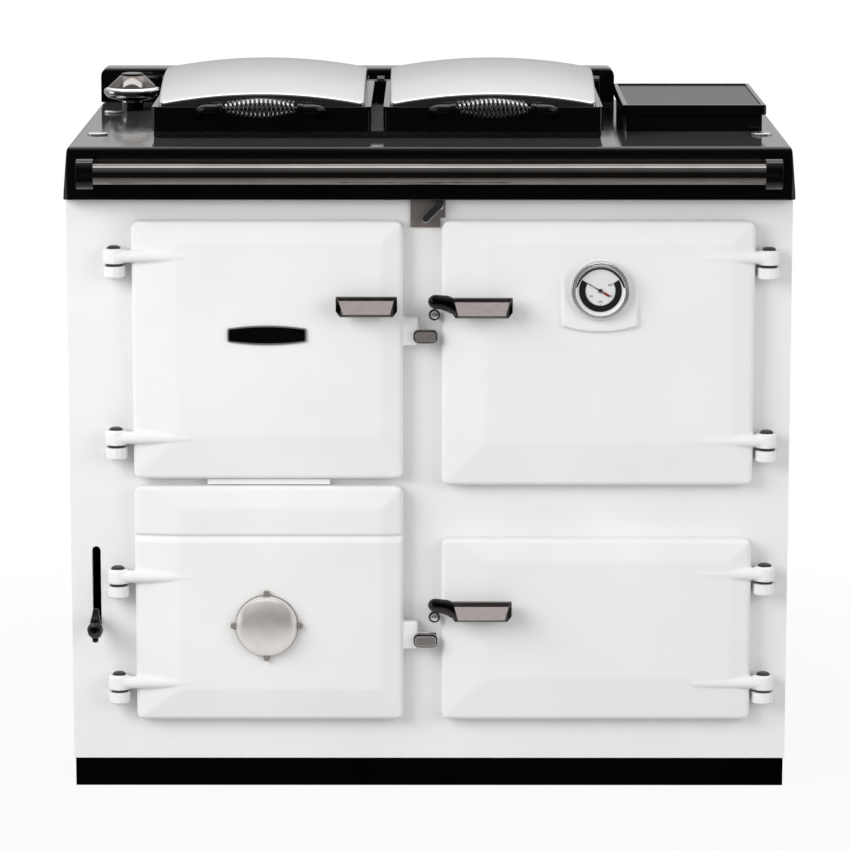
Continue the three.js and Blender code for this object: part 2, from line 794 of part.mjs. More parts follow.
// The spring grip is one wire wound round the bar, fattest in the middle.
function springPath(t, middle) {
  const swell = Math.max(0, Math.sin(Math.PI * t)) ** 1.2;
  const radius = (coilEndDiameter + (coilMiddleDiameter - coilEndDiameter) * swell - coilWire) / 2;
  const angle = 2 * Math.PI * coilTurns * t;
  const length = coilLength - coilWire - 2 * seat;
  return new THREE.Vector3(
    middle + (t - 0.5) * length,
    handleY + radius * Math.cos(angle),
    handleZ + radius * Math.sin(angle),
  );
}

const COIL_STEPS = 8;
const COIL_SIDES = 5;

function springCoil({ left, right }) {
  const middle = (left + right) / 2;
  const steps = coilTurns * COIL_STEPS;
  const vertices = [];
  const triangles = [];
  const ring = (i, j) => i * COIL_SIDES + (j % COIL_SIDES);
  for (let i = 0; i <= steps; i++) {
    const t = i / steps;
    const centre = springPath(t, middle);
    const ahead = springPath(t + 1e-4, middle).sub(springPath(t - 1e-4, middle)).normalize();
    const outward = new THREE.Vector3(0, centre.y - handleY, centre.z - handleZ);
    outward.addScaledVector(ahead, -outward.dot(ahead)).normalize();
    const across = new THREE.Vector3().crossVectors(ahead, outward);
    for (let j = 0; j < COIL_SIDES; j++) {
      const angle = (2 * Math.PI * j) / COIL_SIDES;
      const point = centre.clone()
        .addScaledVector(outward, (coilWire / 2) * Math.cos(angle))
        .addScaledVector(across, (coilWire / 2) * Math.sin(angle));
      vertices.push(point.x, point.y, point.z);
    }
  }
  for (let i = 0; i < steps; i++) {
    for (let j = 0; j < COIL_SIDES; j++) {
      triangles.push(ring(i, j), ring(i, j + 1), ring(i + 1, j + 1));
      triangles.push(ring(i, j), ring(i + 1, j + 1), ring(i + 1, j));
    }
  }
  for (let j = 1; j < COIL_SIDES - 1; j++) {
    triangles.push(ring(0, 0), ring(0, j + 1), ring(0, j));
    triangles.push(ring(steps, 0), ring(steps, j), ring(steps, j + 1));
  }
  const geometry = new THREE.BufferGeometry();
  geometry.setAttribute('position', new THREE.Float32BufferAttribute(vertices, 3));
  geometry.setIndex(triangles);
  return solid(geometry);
}

// The least distance between the surfaces of two turns of the wire.
function leastCoilGap() {
  const perTurn = 24;
  const points = Array.from({ length: coilTurns * perTurn + 1 }, (_, i) => springPath(i / (coilTurns * perTurn), 0));
  let least = Infinity;
  points.forEach((a, i) => {
    for (let j = i + perTurn / 2; j < points.length; j++) least = Math.min(least, a.distanceTo(points[j]));
  });
  return least - coilWire;
}

function lidHingeRod() {
  const middle = (lids[0].right + lids[1].left) / 2;
  const ends = [lidsLeft - seat - lidPostWidth / 2, lidsRight + seat + lidPostWidth / 2];
  const posts = [ends[0], middle, ends[1]].map((x) =>
    prism(
      rounded(lidAxisY - lidKnuckleRadius, lidAxisY + lidKnuckleRadius, hob + seat, lidAxisZ + lidKnuckleRadius,
        [0, 0, lidKnuckleRadius - 0.1, lidKnuckleRadius - 0.1]),
      'x', x - lidPostWidth / 2, x + lidPostWidth / 2,
    ));
  return join(rod(lidRodRadius, ends[1] - ends[0], [ends[0], lidAxisY, lidAxisZ], TO_RIGHT), ...posts);
}

// ---- Doors ----

// A door's slab: flat in the middle, with a wide shallow bevel along its free side and its bottom, where the
// two meet in a diagonal crease, and a softer one along the other sides.
function doorSlab(door, bottomWidth = bevelWidth) {
  const { left, right, bottom, top } = door;
  const outline = prism(rounded(left, right, bottom, top, doorCorner), 'y', doorFront, doorBack);
  const across = polygon([
    [left, doorBack + 1], [left, doorFront + bevelDrop + doorEdge], [left + doorEdge, doorFront + bevelDrop],
    [left + bevelWidth, doorFront], [right - softBevelWidth, doorFront],
    [right - doorEdge, doorFront + softBevelDrop], [right, doorFront + softBevelDrop + doorEdge], [right, doorBack + 1],
  ]);
  const upright = polygon([
    [doorBack + 1, bottom], [doorBack + 1, top], [doorFront + softBevelDrop + doorEdge, top],
    [doorFront + softBevelDrop, top - doorEdge], [doorFront, top - softBevelWidth], [doorFront, bottom + bottomWidth],
    [doorFront + bevelDrop, bottom + doorEdge], [doorFront + bevelDrop + doorEdge, bottom],
  ]);
  return meet(outline, prism(across, 'z', bottom, top), prism(upright, 'x', left, right));
}

// The insulated lining that stands into the mouth when the door is shut.
function doorLining(door) {
  const mouth = mouthOf(door);
  return prism(
    rounded(mouth.left + liningInset, mouth.right - liningInset, mouth.bottom + liningInset, mouth.top - liningInset,
      mouthCorner),
    'y', doorBack - 1, plateFront + plugDepth,
  );
}

// A hinge arm: a barrel round the pin and a half-round rib that tapers away over the door's face.
function hingeArm(door, pinTop) {
  const { armTop, armBottom } = hingeLevels(pinTop);
  const side = door.pinX < door.left ? 1 : -1;
  const length = Math.abs((side > 0 ? door.left : door.right) - door.pinX) + armReach;
  const barrel = turned(
    [[0, 0], [knuckleRadius, 0], [knuckleRadius, armHeight - 3], [knuckleRadius - 3, armHeight], [0, armHeight]],
    [door.pinX, pinY, armBottom], UP,
  );
  const rib = turned(
    [[0, 0], [armRootRadius, 0], [armTipRadius, length - armTipRadius], [armTipRadius * 0.7, length - 2], [0, length]],
    [door.pinX, pinY - knuckleRadius + armRootRadius, (armTop + armBottom) / 2], side > 0 ? TO_RIGHT : TO_LEFT, 12,
  );
  return join(barrel, rib);
}

function hungDoor(door, slab) {
  const whole = join(slab, doorLining(door), ...door.pinTops.map((pinTop) => hingeArm(door, pinTop)));
  return cut(whole, ...door.pinTops.map((pinTop) =>
    rod(hingePinRadius + pinPlay, armHeight + 4, [door.pinX, pinY, hingeLevels(pinTop).armBottom - 2], UP)));
}

// The lug at a door's free side that carries its latch.
function latchLug(z) {
  const back = doorBack;
  const front = back - latchLugDepth;
  const lugRight = latchX - latchShaftRadius - 6;
  const block = prism(
    rounded(leftDoorRight - doorCorner, lugRight, z + latchDrop - latchLugHeight / 2, z + latchDrop + latchLugHeight / 2,
      [0, 3, 3, 0]),
    'y', front, back,
  );
  const nose = prism(
    rounded(lugRight - 4, latchX + latchShaftRadius + 4, z - latchNoseHeight / 2, z + latchNoseHeight / 2,
      [0, 6, 6, 0]),
    'y', front, back,
  );
  return join(block, nose);
}

const latchBore = (z) =>
  rod(latchShaftRadius + pinPlay, latchLugDepth + 2, [latchX, doorBack - latchLugDepth - 1, z], TO_BACK);

function fireDoor() {
  const slab = join(doorSlab(doors.fire), latchLug(latchHeights.fire));
  return cut(hungDoor(doors.fire, slab), latchBore(latchHeights.fire));
}

// A length of the groove under the ash door's band, sunk at its two ends as the door's bevels are.
function grooveLength(x0, x1, drop0, drop1) {
  const groove = doors.ash.top - bandHeight;
  const geometry = new THREE.BoxGeometry(1, 1, 1);
  const position = geometry.attributes.position;
  for (let i = 0; i < position.count; i++) {
    const [right, atBack, high] = [position.getX(i) > 0, position.getY(i) > 0, position.getZ(i) > 0];
    const back = high ? doorFront + grooveDepth : doorFront;
    const top = atBack ? groove : groove + 1;
    const foot = atBack ? groove - grooveWidth : groove - grooveWidth - 3;
    position.setXYZ(
      i,
      right ? x1 : x0,
      (atBack ? back : doorFront - 1) + (right ? drop1 : drop0),
      high ? top : foot,
    );
  }
  return solid(geometry);
}

// The ash door has a plain band over a groove, and the air inlet behind its spinwheel.
function ashDoor() {
  const door = doors.ash;
  const [flatLeft, flatRight] = [door.left + bevelWidth, door.right - softBevelWidth];
  const slab = join(
    cut(
      doorSlab(door, ashBevelWidth),
      grooveLength(door.left, flatLeft, bevelDrop + doorEdge / 4, 0),
      grooveLength(flatLeft - 1, flatRight + 1, 0, 0),
      grooveLength(flatRight, door.right, 0, softBevelDrop + doorEdge / 4),
    ),
    latchLug(latchHeights.ash),
  );
  const through = doorThickness + plugDepth + 4;
  const inlet = rod(airHoleRadius, through, [wheelX, doorFront - 1, wheelZ], TO_BACK, 24);
  const hub = rod(airHubRadius, through, [wheelX, doorFront, wheelZ], TO_BACK);
  const spoke = box(
    [wheelX - airHoleRadius - 1, wheelX + airHoleRadius + 1], [doorFront + 6, plateFront + plugDepth],
    [wheelZ - airSpokeWidth / 2, wheelZ + airSpokeWidth / 2],
  );
  const spider = meet(join(hub, spoke), box([door.left, door.right], [doorFront, plateFront + plugDepth],
    [door.bottom, door.top]));
  const open = join(cut(hungDoor(door, slab), inlet), spider);
  const spindleBore = rod(spindleRadius + seat, through, [wheelX, doorFront - 1, wheelZ], TO_BACK);
  return cut(open, spindleBore, latchBore(latchHeights.ash));
}

function mainOvenDoor() {
  const outline = new THREE.Shape();
  const half = padWidth / 2;
  const bottom = thermometerZ - padDrop;
  outline.moveTo(thermometerX - half, bottom + 8);
  outline.quadraticCurveTo(thermometerX, bottom - 8, thermometerX + half, bottom + 8);
  outline.lineTo(thermometerX + half, thermometerZ + half);
  outline.lineTo(thermometerX - half, thermometerZ + half);
  const fading = polygon([
    [doorFront - padDepth, bottom - 8], [doorFront + 1, bottom - 8], [doorFront + 1, thermometerZ + padFade],
    [doorFront, thermometerZ + padFade], [doorFront - padDepth, thermometerZ - padFade],
  ]);
  const pad = meet(
    prism(outline, 'y', doorFront - padDepth, doorFront + 1, 5),
    prism(fading, 'x', thermometerX - half, thermometerX + half),
  );
  const seatDisc = rod(bezelRadius - 1, padDepth + 1, [thermometerX, doorFront + 1, thermometerZ],
    TO_FRONT, 20);
  return hungDoor(doors.main_oven, join(doorSlab(doors.main_oven), pad, seatDisc));
}

const lowerOvenDoor = () => hungDoor(doors.lower_oven, doorSlab(doors.lower_oven));

// ---- Handles ----

// A block whose faces at the front and back have their own widths, all centred on one height.
function bevelledGrip(x0, x1, z) {
  const half = gripHeight / 2;
  const front = doorFront - gripStand;
  const back = front + gripDepth;
  const shoulder = front + 6;
  const slab = prism(
    polygon([[x0 + 6, z - half], [x1 - 6, z - half], [x1, z - half + 8], [x1, z + half], [x0, z + half],
      [x0, z - half + 8]]),
    'y', shoulder, back,
  );
  const geometry = new THREE.BoxGeometry(1, 1, 1);
  const position = geometry.attributes.position;
  for (let i = 0; i < position.count; i++) {
    const [right, atBack, high] = [position.getX(i) > 0, position.getY(i) > 0, position.getZ(i) > 0];
    const endInset = atBack ? (high ? 0 : 6) : (high ? 4 : 9);
    const edgeInset = atBack ? 0 : 4;
    position.setXYZ(
      i,
      right ? x1 - endInset : x0 + endInset,
      atBack ? shoulder + 0.5 : front,
      high ? z + half - edgeInset : z - half + edgeInset,
    );
  }
  const face = solid(geometry);
  const posts = [x0 + gripPostRadius + 3, x1 - gripPostRadius - 3].map((x) =>
    rod(gripPostRadius, gripStand - gripDepth + 1, [x, back - 1, z], TO_BACK));
  const doorSide = box([x0, x1], [doorFront - seat, doorBack], [z - half, z + half]);
  return cut(join(slab, face, ...posts), doorSide);
}

const fireGrip = () =>
  bevelledGrip(leftDoorRight - fireGripInset - gripLength, leftDoorRight - fireGripInset, gripHeights.fire);

// An oven handle runs on in a swan-neck hook that rests on the keeper beside the door.
function ovenGrip(z) {
  const left = rightDoorLeft + ovenGripInset;
  const y = doorFront - gripStand + gripDepth / 2;
  const curve = new THREE.CubicBezierCurve3(
    new THREE.Vector3(left + 6, y, z),
    new THREE.Vector3(left - 8, y, z + hookRise),
    new THREE.Vector3(keeperX + 4, y + 2, z + hookRise * 2),
    new THREE.Vector3(keeperX, y + gripDepth + 4, z + hookRise),
  );
  const neck = swept(disc(hookRadius), curve, 8);
  return join(bevelledGrip(left, left + gripLength, z), neck);
}

// A cone on the front plate, just under the hook.
function keeper(z) {
  const top = z + hookRise - hookRadius - 1;
  const centre = top - keeperRadius;
  return turned(
    [[0, 0], [keeperRadius * 0.6, 0], [keeperRadius * 0.6, keeperLength * 0.6], [keeperRadius, keeperLength * 0.8],
      [keeperRadius * 0.5, keeperLength], [0, keeperLength]],
    [keeperX, plateFront - seat, centre], TO_FRONT, 16,
  );
}

// A quarter-turn latch: an oval knob in front, and a tongue that goes through the slot in the front plate.
function latch(z) {
  const lugFront = doorBack - latchLugDepth;
  const knobBack = lugFront - seat;
  const knob = meet(
    prism(knobOutline(z), 'y', knobBack - latchKnobDepth, knobBack, 6),
    turned([[0, 0], [latchKnobLength, 0], [latchKnobLength, 4], [latchKnobLength * 0.3, latchKnobDepth], [0, latchKnobDepth]],
      [latchX, knobBack, z], TO_FRONT, 24),
  );
  const tongueFront = plateBack + 1;
  const shaft = rod(latchShaftRadius, tongueFront - knobBack + 1.5, [latchX, knobBack - 1, z], TO_BACK);
  const tongue = prism(
    rounded(latchX - latchTongueLength / 2, latchX + latchTongueLength / 2, z - latchTongueHeight / 2,
      z + latchTongueHeight / 2, 2),
    'y', tongueFront, tongueFront + latchTongueDepth,
  );
  return join(knob, shaft, tongue);
}

const knobOutline = (z) => rounded(
  latchX - latchKnobLength / 2, latchX + latchKnobLength / 2, z - latchKnobHeight / 2, z + latchKnobHeight / 2,
  latchKnobCorner,
);

// ---- Spinwheel ----
const wheelBack = doorFront - seat;

function spinwheel() {
  const dome = turned(
    [[0, 0], [wheelRadius, 0], [wheelRadius, 4], [wheelRadius * 0.9, wheelDepth * 0.55],
      [wheelRadius * 0.68, wheelDepth * 0.82], [wheelRadius * 0.36, wheelDepth * 0.96], [0, wheelDepth]],
    [wheelX, wheelBack, wheelZ], TO_FRONT, 32,
  );
  const hollow = turned(
    [[0, -1], [wheelRadius - wheelShell, -1], [wheelRadius - wheelShell, 2],
      [(wheelRadius - wheelShell) * 0.85, (wheelDepth - wheelShell) * 0.62], [0, wheelDepth - wheelShell]],
    [wheelX, wheelBack, wheelZ], TO_FRONT,
  );
  const lugs = [0, 1, 2, 3].map((k) => {
    const [dx, dz] = [Math.cos(k * Math.PI / 2), Math.sin(k * Math.PI / 2)];
    const reach = wheelRadius + wheelLug / 2 - 3;
    const across = wheelLug / 2 + (wheelLug / 2 - 1) * Math.abs(dx);
    const along = wheelLug / 2 + (wheelLug / 2 - 1) * Math.abs(dz);
    const [x, z] = [wheelX + dx * reach, wheelZ + dz * reach];
    return box([x - across, x + across], [wheelBack - 8, wheelBack], [z - along, z + along]);
  });
  const hub = rod(airHubRadius, wheelDepth * 0.6, [wheelX, wheelBack - wheelCollarThickness - 2 * seat, wheelZ], TO_FRONT);
  const bore = rod(spindleRadius + pinPlay, wheelDepth - wheelShell + 1, [wheelX, wheelBack + 1, wheelZ], TO_FRONT);
  return cut(join(cut(dome, hollow), ...lugs, hub), bore);
}

// The keyed collar that travels with the wheel along the spindle without turning.
function spinwheelCollar() {
  const ring = rod(wheelCollarRadius, wheelCollarThickness, [wheelX, wheelBack - seat, wheelZ], TO_FRONT);
  return cut(ring, rod(spindleRadius + pinPlay, wheelCollarThickness + 2, [wheelX, wheelBack + 1, wheelZ], TO_FRONT));
}

function spinwheelSpindle() {
  const front = wheelBack - wheelDepth * 0.6;
  const back = plateFront + plugDepth + spindleNut;
  const screw = rod(spindleRadius, back - front, [wheelX, front, wheelZ], TO_BACK);
  const nut = rod(spindleRadius * 1.8, spindleNut, [wheelX, plateFront + plugDepth + seat, wheelZ], TO_BACK, 6);
  return join(screw, nut);
}

// ---- Thermometer ----
const bezelBack = doorFront - padDepth - seat;

function thermometerCase() {
  return turned(
    [[0, 0], [bezelRadius, 0], [bezelRadius, bezelDepth * 0.4], [bezelRadius * 0.96, bezelDepth * 0.8],
      [bezelRadius * 0.9, bezelDepth], [dialRadius + 1, bezelDepth - 1], [dialRadius + 1, bezelDepth - dialRecess],
      [0, bezelDepth - dialRecess]],
    [thermometerX, bezelBack, thermometerZ], TO_FRONT, 32,
  );
}

const dialFace = bezelBack - bezelDepth + dialRecess;

const thermometerGlass = () =>
  rod(dialRadius + 0.6, glassThickness, [thermometerX, bezelBack - bezelDepth + 1 + glassThickness, thermometerZ],
    TO_FRONT, 32);

// The needle is thin towards its tip and broad at its tail.
function thermometerPointer() {
  const angle = THREE.MathUtils.degToRad(pointerAngle);
  const [cos, sin] = [Math.cos(angle), Math.sin(angle)];
  const outline = [[pointerLength, 0.5], [-pointerTail, 1.3], [-pointerTail, -1.3], [pointerLength, -0.5]];
  const turnedOutline = outline.map(([along, across]) =>
    [thermometerX + along * cos - across * sin, thermometerZ + along * sin + across * cos]);
  const needle = prism(polygon(turnedOutline), 'y', dialFace - 2.6, dialFace - 1.8);
  const hub = rod(pointerHubRadius, 2.4, [thermometerX, dialFace - seat, thermometerZ], TO_FRONT);
  return join(needle, hub);
}

// ---- Fire ----
function firebox() {
  const [bottom, top] = [ashMouth.bottom - fireFloor, hob - topSlab - skirtHeight / 2];
  const outer = box([chamberLeft - fireWall, chamberRight + fireWall], [chamberFront, chamberBack + fireWall],
    [bottom, top]);
  const inner = box([chamberLeft, chamberRight], [chamberFront - 1, chamberBack], [ashMouth.bottom, top + 1]);
  const boss = rod(leverBossRadius, leverBossReach + 1, [chamberLeft - fireWall + 1, pivotY, pivotZ], TO_LEFT);
  const grateBore = rod(grateShaftRadius + pinPlay, fireWall + 2, [chamberLeft + 1, pivotY, grateZ], TO_LEFT);
  const stubBore = rod(grateShaftRadius + pinPlay, gratePlugDepth, [chamberRight - 1, pivotY, grateZ], TO_RIGHT);
  const leverHole = rod(grateShaftRadius + pinPlay, fireWall + leverBossReach,
    [chamberLeft - fireWall / 3, pivotY, pivotZ], TO_LEFT);
  return cut(join(cut(outer, inner), boss), leverHole, grateBore, stubBore);
}

// The rocking grate: a slotted plate on a cross shaft, with a crank outside the fire chamber.
function fireGrate() {
  const [x0, x1] = [chamberLeft + swingPlay, chamberRight - swingPlay];
  const reach = Math.min(pivotY - chamberFront, chamberBack - pivotY) - swingPlay;
  const [z0, z1] = [grateZ - grateThickness / 2, grateZ + grateThickness / 2];
  const plate = box([x0, x1], [pivotY - reach, pivotY + reach], [z0, z1]);
  const pitch = (x1 - x0 - grateBar) / grateSlots;
  const slots = Array.from({ length: grateSlots }, (_, k) => {
    const left = x0 + grateBar + k * pitch;
    return [[pivotY - reach + grateBar, pivotY - grateBar], [pivotY + grateBar, pivotY + reach - grateBar]].map((along) =>
      box([left, left + pitch - grateBar], along, [z0 - 1, z1 + 1]));
  }).flat();
  const shaftLeft = linkX + linkPlate;
  const shaftRight = chamberRight + gratePlugDepth - swingPlay;
  const shaft = rod(grateShaftRadius, shaftRight - shaftLeft, [shaftLeft, pivotY, grateZ], TO_RIGHT, 16);
  const crank = crankArm(grateZ, linkX + linkPlate / 2 + linkPlay);
  const pin = crankPin(grateZ);
  return join(cut(plate, ...slots), shaft, crank, pin);
}

// A flat arm from the pivot back to the crank pin.
function crankArm(z, x) {
  return prism(capsule([pivotY, z], [crankY, z], linkWidth / 2), 'x', x, x + linkPlate);
}

// The pin that runs in an eye of the link, and stands a little proud of it on both sides.
const crankPin = (z) =>
  rod(crankPinRadius, linkPlate + 2 * linkPlay + 2, [linkX - linkPlate / 2 - linkPlay - 1, crankY, z], TO_RIGHT);

function riddlingLink() {
  const bar = prism(capsule([crankY, pivotZ], [crankY, grateZ], linkWidth / 2), 'x',
    linkX - linkPlate / 2, linkX + linkPlate / 2);
  const eyes = [pivotZ, grateZ].map((z) =>
    rod(crankPinRadius + pinPlay, linkPlate + 2, [linkX - linkPlate / 2 - 1, crankY, z], TO_RIGHT));
  return cut(bar, ...eyes);
}

function riddlingLever() {
  const shaftLeft = slotX - leverThickness / 2;
  const shaftRight = chamberLeft - fireWall * 0.6;
  const shaft = rod(grateShaftRadius, shaftRight - shaftLeft, [shaftLeft, pivotY, pivotZ], TO_RIGHT);
  const crank = crankArm(pivotZ, linkX - linkPlate * 1.5 - linkPlay);
  const pin = crankPin(pivotZ);
  const [knobY, knobZ] = [plateFront - leverKnobStand, pivotZ - leverKnobDrop];
  const bar = prism(capsule([pivotY, pivotZ], [knobY, knobZ], leverHeight / 2), 'x',
    slotX - leverThickness / 2, slotX + leverThickness / 2);
  const outwards = new THREE.Vector3(0, knobY - pivotY, knobZ - pivotZ).normalize();
  const knobSeat = leverKnobLength * 0.45;
  const grip = turned(
    [[0, 0], [leverKnobRadius * 0.4, 0], [leverKnobRadius * 0.75, leverKnobLength * 0.26],
      [leverKnobRadius, leverKnobLength * 0.58], [leverKnobRadius * 0.8, leverKnobLength * 0.87], [0, leverKnobLength]],
    [slotX, knobY - knobSeat * outwards.y, knobZ - knobSeat * outwards.z], outwards, 20,
  );
  return join(bar, grip, shaft, crank, pin);
}

// The ash pan slides in on the chamber's floor.
function ashPan() {
  const [x0, x1] = [chamberLeft + swingPlay, chamberRight - swingPlay];
  const [y0, y1] = [plateBack + plugDepth + swingPlay, plateBack + plugDepth + swingPlay + panDepth];
  const [z0, z1] = [ashMouth.bottom + seat, ashMouth.bottom + seat + panHeight];
  const tray = cut(box([x0, x1], [y0, y1], [z0, z1]),
    box([x0 + panWall, x1 - panWall], [y0 + panWall, y1 - panWall], [z0 + panWall, z1 + 1]));
  const middle = (x0 + x1) / 2;
  const lip = box([middle - panLipWidth / 2, middle + panLipWidth / 2], [y0 - panLipReach, y0 + 1], [z1 - panLipHeight, z1]);
  return join(tray, lip);
}

// ---- Ovens ----
function ovenBox(door, withRunners) {
  const mouth = mouthOf(door);
  const outer = box([mouth.left - ovenLip, mouth.right + ovenLip], [plateBack + seat, plateBack + seat + ovenWall],
    [mouth.bottom - ovenLip, mouth.top + ovenLip]);
  const shell = box([mouth.left - ovenWall, mouth.right + ovenWall], [plateBack + seat, ovenBack],
    [mouth.bottom - ovenWall, mouth.top + ovenWall]);
  const inside = box([mouth.left, mouth.right], [plateBack, ovenBack - ovenWall], [mouth.bottom, mouth.top]);
  const open = cut(join(outer, shell), inside);
  if (!withRunners) return open;
  const z = mouth.bottom + shelfRise;
  const runners = [[mouth.left - 1, mouth.left + runnerWidth], [mouth.right - runnerWidth, mouth.right + 1]].map((across) =>
    box(across, [plateBack + runnerSetback, ovenBack - ovenWall + 1], [z - runnerHeight, z]));
  return join(open, ...runners);
}

function ovenShelf() {
  const mouth = mouthOf(doors.main_oven);
  const z = mouth.bottom + shelfRise + seat;
  const [x0, x1] = [mouth.left + shelfPlay, mouth.right - shelfPlay];
  const [y0, y1] = [plateBack + shelfSetback, ovenBack - ovenWall - shelfPlay];
  const plate = box([x0, x1], [y0, y1], [z, z + shelfThickness]);
  const pitch = (x1 - x0 - 2 * shelfRim + shelfThickness) / shelfSlots;
  const slots = Array.from({ length: shelfSlots }, (_, k) => {
    const left = x0 + shelfRim + k * pitch;
    return box([left, left + pitch - shelfThickness], [y0 + shelfRim, y1 - shelfRim], [z - 1, z + shelfThickness + 1]);
  });
  return cut(plate, ...slots);
}

// ---- Damper ----
function damperPlate() {
  const [left, right] = [damperLeft, damperLeft + damperPlateWidth];
  const sheet = box([left, right], [plateFront - seat - damperPlateThickness, plateFront - seat],
    [bodyTop - damperPlateHeight, bodyTop - seat]);
  const hole = rod(damperShaftRadius + pinPlay, 12, [damperX, plateFront - 10, damperZ], TO_BACK);
  const doorCut = box([rightDoorLeft - 2, right + 1], [0, plateFront], [bodyTop - damperPlateHeight - 1, doorTop + 2]);
  return cut(sheet, hole, doorCut);
}

function damperLever() {
  const hubFront = plateFront - seat * 2 - damperPlateThickness - damperHubLength;
  const hub = rod(damperHubRadius, damperHubLength, [damperX, hubFront, damperZ], TO_BACK);
  const shaft = rod(damperShaftRadius, damperShaftLength, [damperX, hubFront + 5, damperZ], TO_BACK);
  const slant = damperReach * Math.SQRT1_2;
  const arm = prism(capsule([damperX, damperZ], [damperX - slant, damperZ - slant], damperArmWidth / 2),
    'y', hubFront - 4, hubFront + 3);
  const flapFront = plateBack + 12;
  const flap = box([damperX - damperFlapWidth / 2, damperX + damperFlapWidth / 2], [flapFront, flapFront + 3],
    [damperZ - damperFlapHeight / 2, damperZ + damperFlapHeight / 2]);
  return join(hub, shaft, arm, flap);
}

// ---- Flue ----
function flueBox() {
  const [x0, x1] = [flueCoverLeft + flueBoxInset, flueCoverRight - flueBoxInset];
  const [y0, y1] = [flueFront + flueBoxInset, flueBack - flueBoxInset];
  const [z0, z1] = [hob + seat, hob + flueBoxHeight - seat];
  const wall = cut(box([x0, x1], [y0, y1], [z0, z1]),
    box([x0 + flueWall, x1 - flueWall], [y0 + flueWall, y1 - flueWall], [z0 - 1, z1 + 1]));
  const lugs = [[x0, x0 + flueKnuckle], [x1 - flueKnuckle, x1]].map((across) => {
    const foot = box(across, [y1 - 1, flueAxisY + flueHingeRadius], [z0, z1]);
    const cheek = box(across, [flueAxisY - flueHingeRadius, flueAxisY + flueHingeRadius], [z1 - 1, flueAxisZ]);
    return join(foot, cheek, rod(flueHingeRadius, flueKnuckle, [across[0], flueAxisY, flueAxisZ], TO_RIGHT));
  });
  const bore = rod(flueHingePin + pinPlay, x1 - x0 + 2, [x0 - 1, flueAxisY, flueAxisZ], TO_RIGHT);
  const away = box([x0 - 1, x1 + 1], [flueBack - flueBoxInset - flueWall, flueBack + seat],
    [z1 + 0.001, flueAxisZ + flueHingeRadius]);
  return cut(cut(join(wall, ...lugs), bore), away);
}

function flueCover() {
  const [z0, z1] = [hob + flueBoxHeight, hob + flueBoxHeight + coverThickness];
  const slab = meet(
    prism(rounded(flueCoverLeft, flueCoverRight, flueFront, flueBack, 8), 'z', z0, z1),
    prism(rounded(flueCoverLeft, flueCoverRight, z0, z1, [1, 1, 3, 3]), 'y', flueFront, flueBack),
  );
  const recess = box([flueCoverLeft + coverRim, flueCoverRight - coverRim], [flueFront + coverRim, flueBack - coverRim],
    [z1 - coverRecess, z1 + 1]);
  const [x0, x1] = [flueCoverLeft + flueBoxInset + flueKnuckle + 2, flueCoverRight - flueBoxInset - flueKnuckle - 2];
  const barrel = rod(flueHingeRadius, x1 - x0, [x0, flueAxisY, flueAxisZ], TO_RIGHT);
  const web = box([x0, x1], [flueBack - 1, flueAxisY], [flueAxisZ - 3, flueAxisZ + 3]);
  const pin = rod(flueHingePin, x1 - x0 + 2 * flueKnuckle, [x0 - flueKnuckle, flueAxisY, flueAxisZ], TO_RIGHT);
  return join(cut(slab, recess), barrel, web, pin);
}

function flueSpigot() {
  const outer = outletBore + outletWall;
  const collar = turned(
    [[0, 0], [outer + outletFlange, 0], [outer + outletFlange, outletWall], [outer, outletWall],
      [outer, outletReach - seat], [0, outletReach - seat]],
    [flueX, panelBack + seat, outletZ], TO_BACK, 28,
  );
  return cut(collar, rod(outletBore, outletReach + 4, [flueX, panelBack - 1, outletZ], TO_BACK, 28));
}

// ---- Thermostat dial ----
function thermostatDial() {
  const foot = dialFootHeight + seat;
  const coneTop = saucerHeight + dialConeHeight;
  const cap = coneTop + dialCapHeight;
  const body = turned(
    [[0, 0], [saucerRadius * 0.62, 0], [saucerRadius * 0.92, saucerHeight * 0.3], [saucerRadius, saucerHeight * 0.55],
      [saucerRadius * 0.97, saucerHeight * 0.85], [saucerRadius * 0.7, saucerHeight], [saucerRadius * 0.4, coneTop],
      [saucerRadius * 0.4, cap - 4], [saucerRadius * 0.28, cap], [0, cap]],
    [dialX, dialY, hob + foot], UP, 24,
  );
  const bore = rod(dialStemRadius + pinPlay, saucerHeight + seat + 1, [dialX, dialY, hob + foot - 1], UP);
  return cut(body, bore);
}

// ---- The cooker ----
place('plinth', plinth(), 'blackEnamel');
place('front_plate', frontPlate(), 'whiteEnamel');
place('left_side_panel', sidePanel(bodyLeft, bodyLeft + sidePanelThickness), 'whiteEnamel');
place('right_side_panel', sidePanel(bodyRight - sidePanelThickness, bodyRight), 'whiteEnamel');
place('back_panel', backPanel(), 'castIron');
place('top_plate', topPlate(), 'blackEnamel');
place('rear_upstand', rearUpstand(), 'blackEnamel');
place('towel_rail', rod(railRadius, 2 * (railEnd - 5), [-railEnd + 5, railY, railZ], TO_RIGHT, 28), 'chrome');
place('rail_bracket_left', railBracket(-railEnd, -railEnd + bracketLength), 'blackEnamel');
place('rail_bracket_right', railBracket(railEnd - bracketLength, railEnd), 'blackEnamel');
place('hotplate', hotplate(), 'castIron');
place('hotplate_seal', hotplateSeal(), 'castIron');
place('lid_hinge_rod', lidHingeRod(), 'chrome');

for (const lid of lids) {
  place(`${lid.name}_base`, lidBase(lid), 'blackEnamel');
  place(`${lid.name}_dome`, lidDome(lid), 'chrome');
  place(`${lid.name}_handle_bar`, lidHandleBar(lid), 'blackEnamel');
  place(`${lid.name}_coil`, springCoil(lid), 'chrome');
}
console.log(`Least gap between the turns of a handle's coil: ${leastCoilGap().toFixed(2)} mm`);

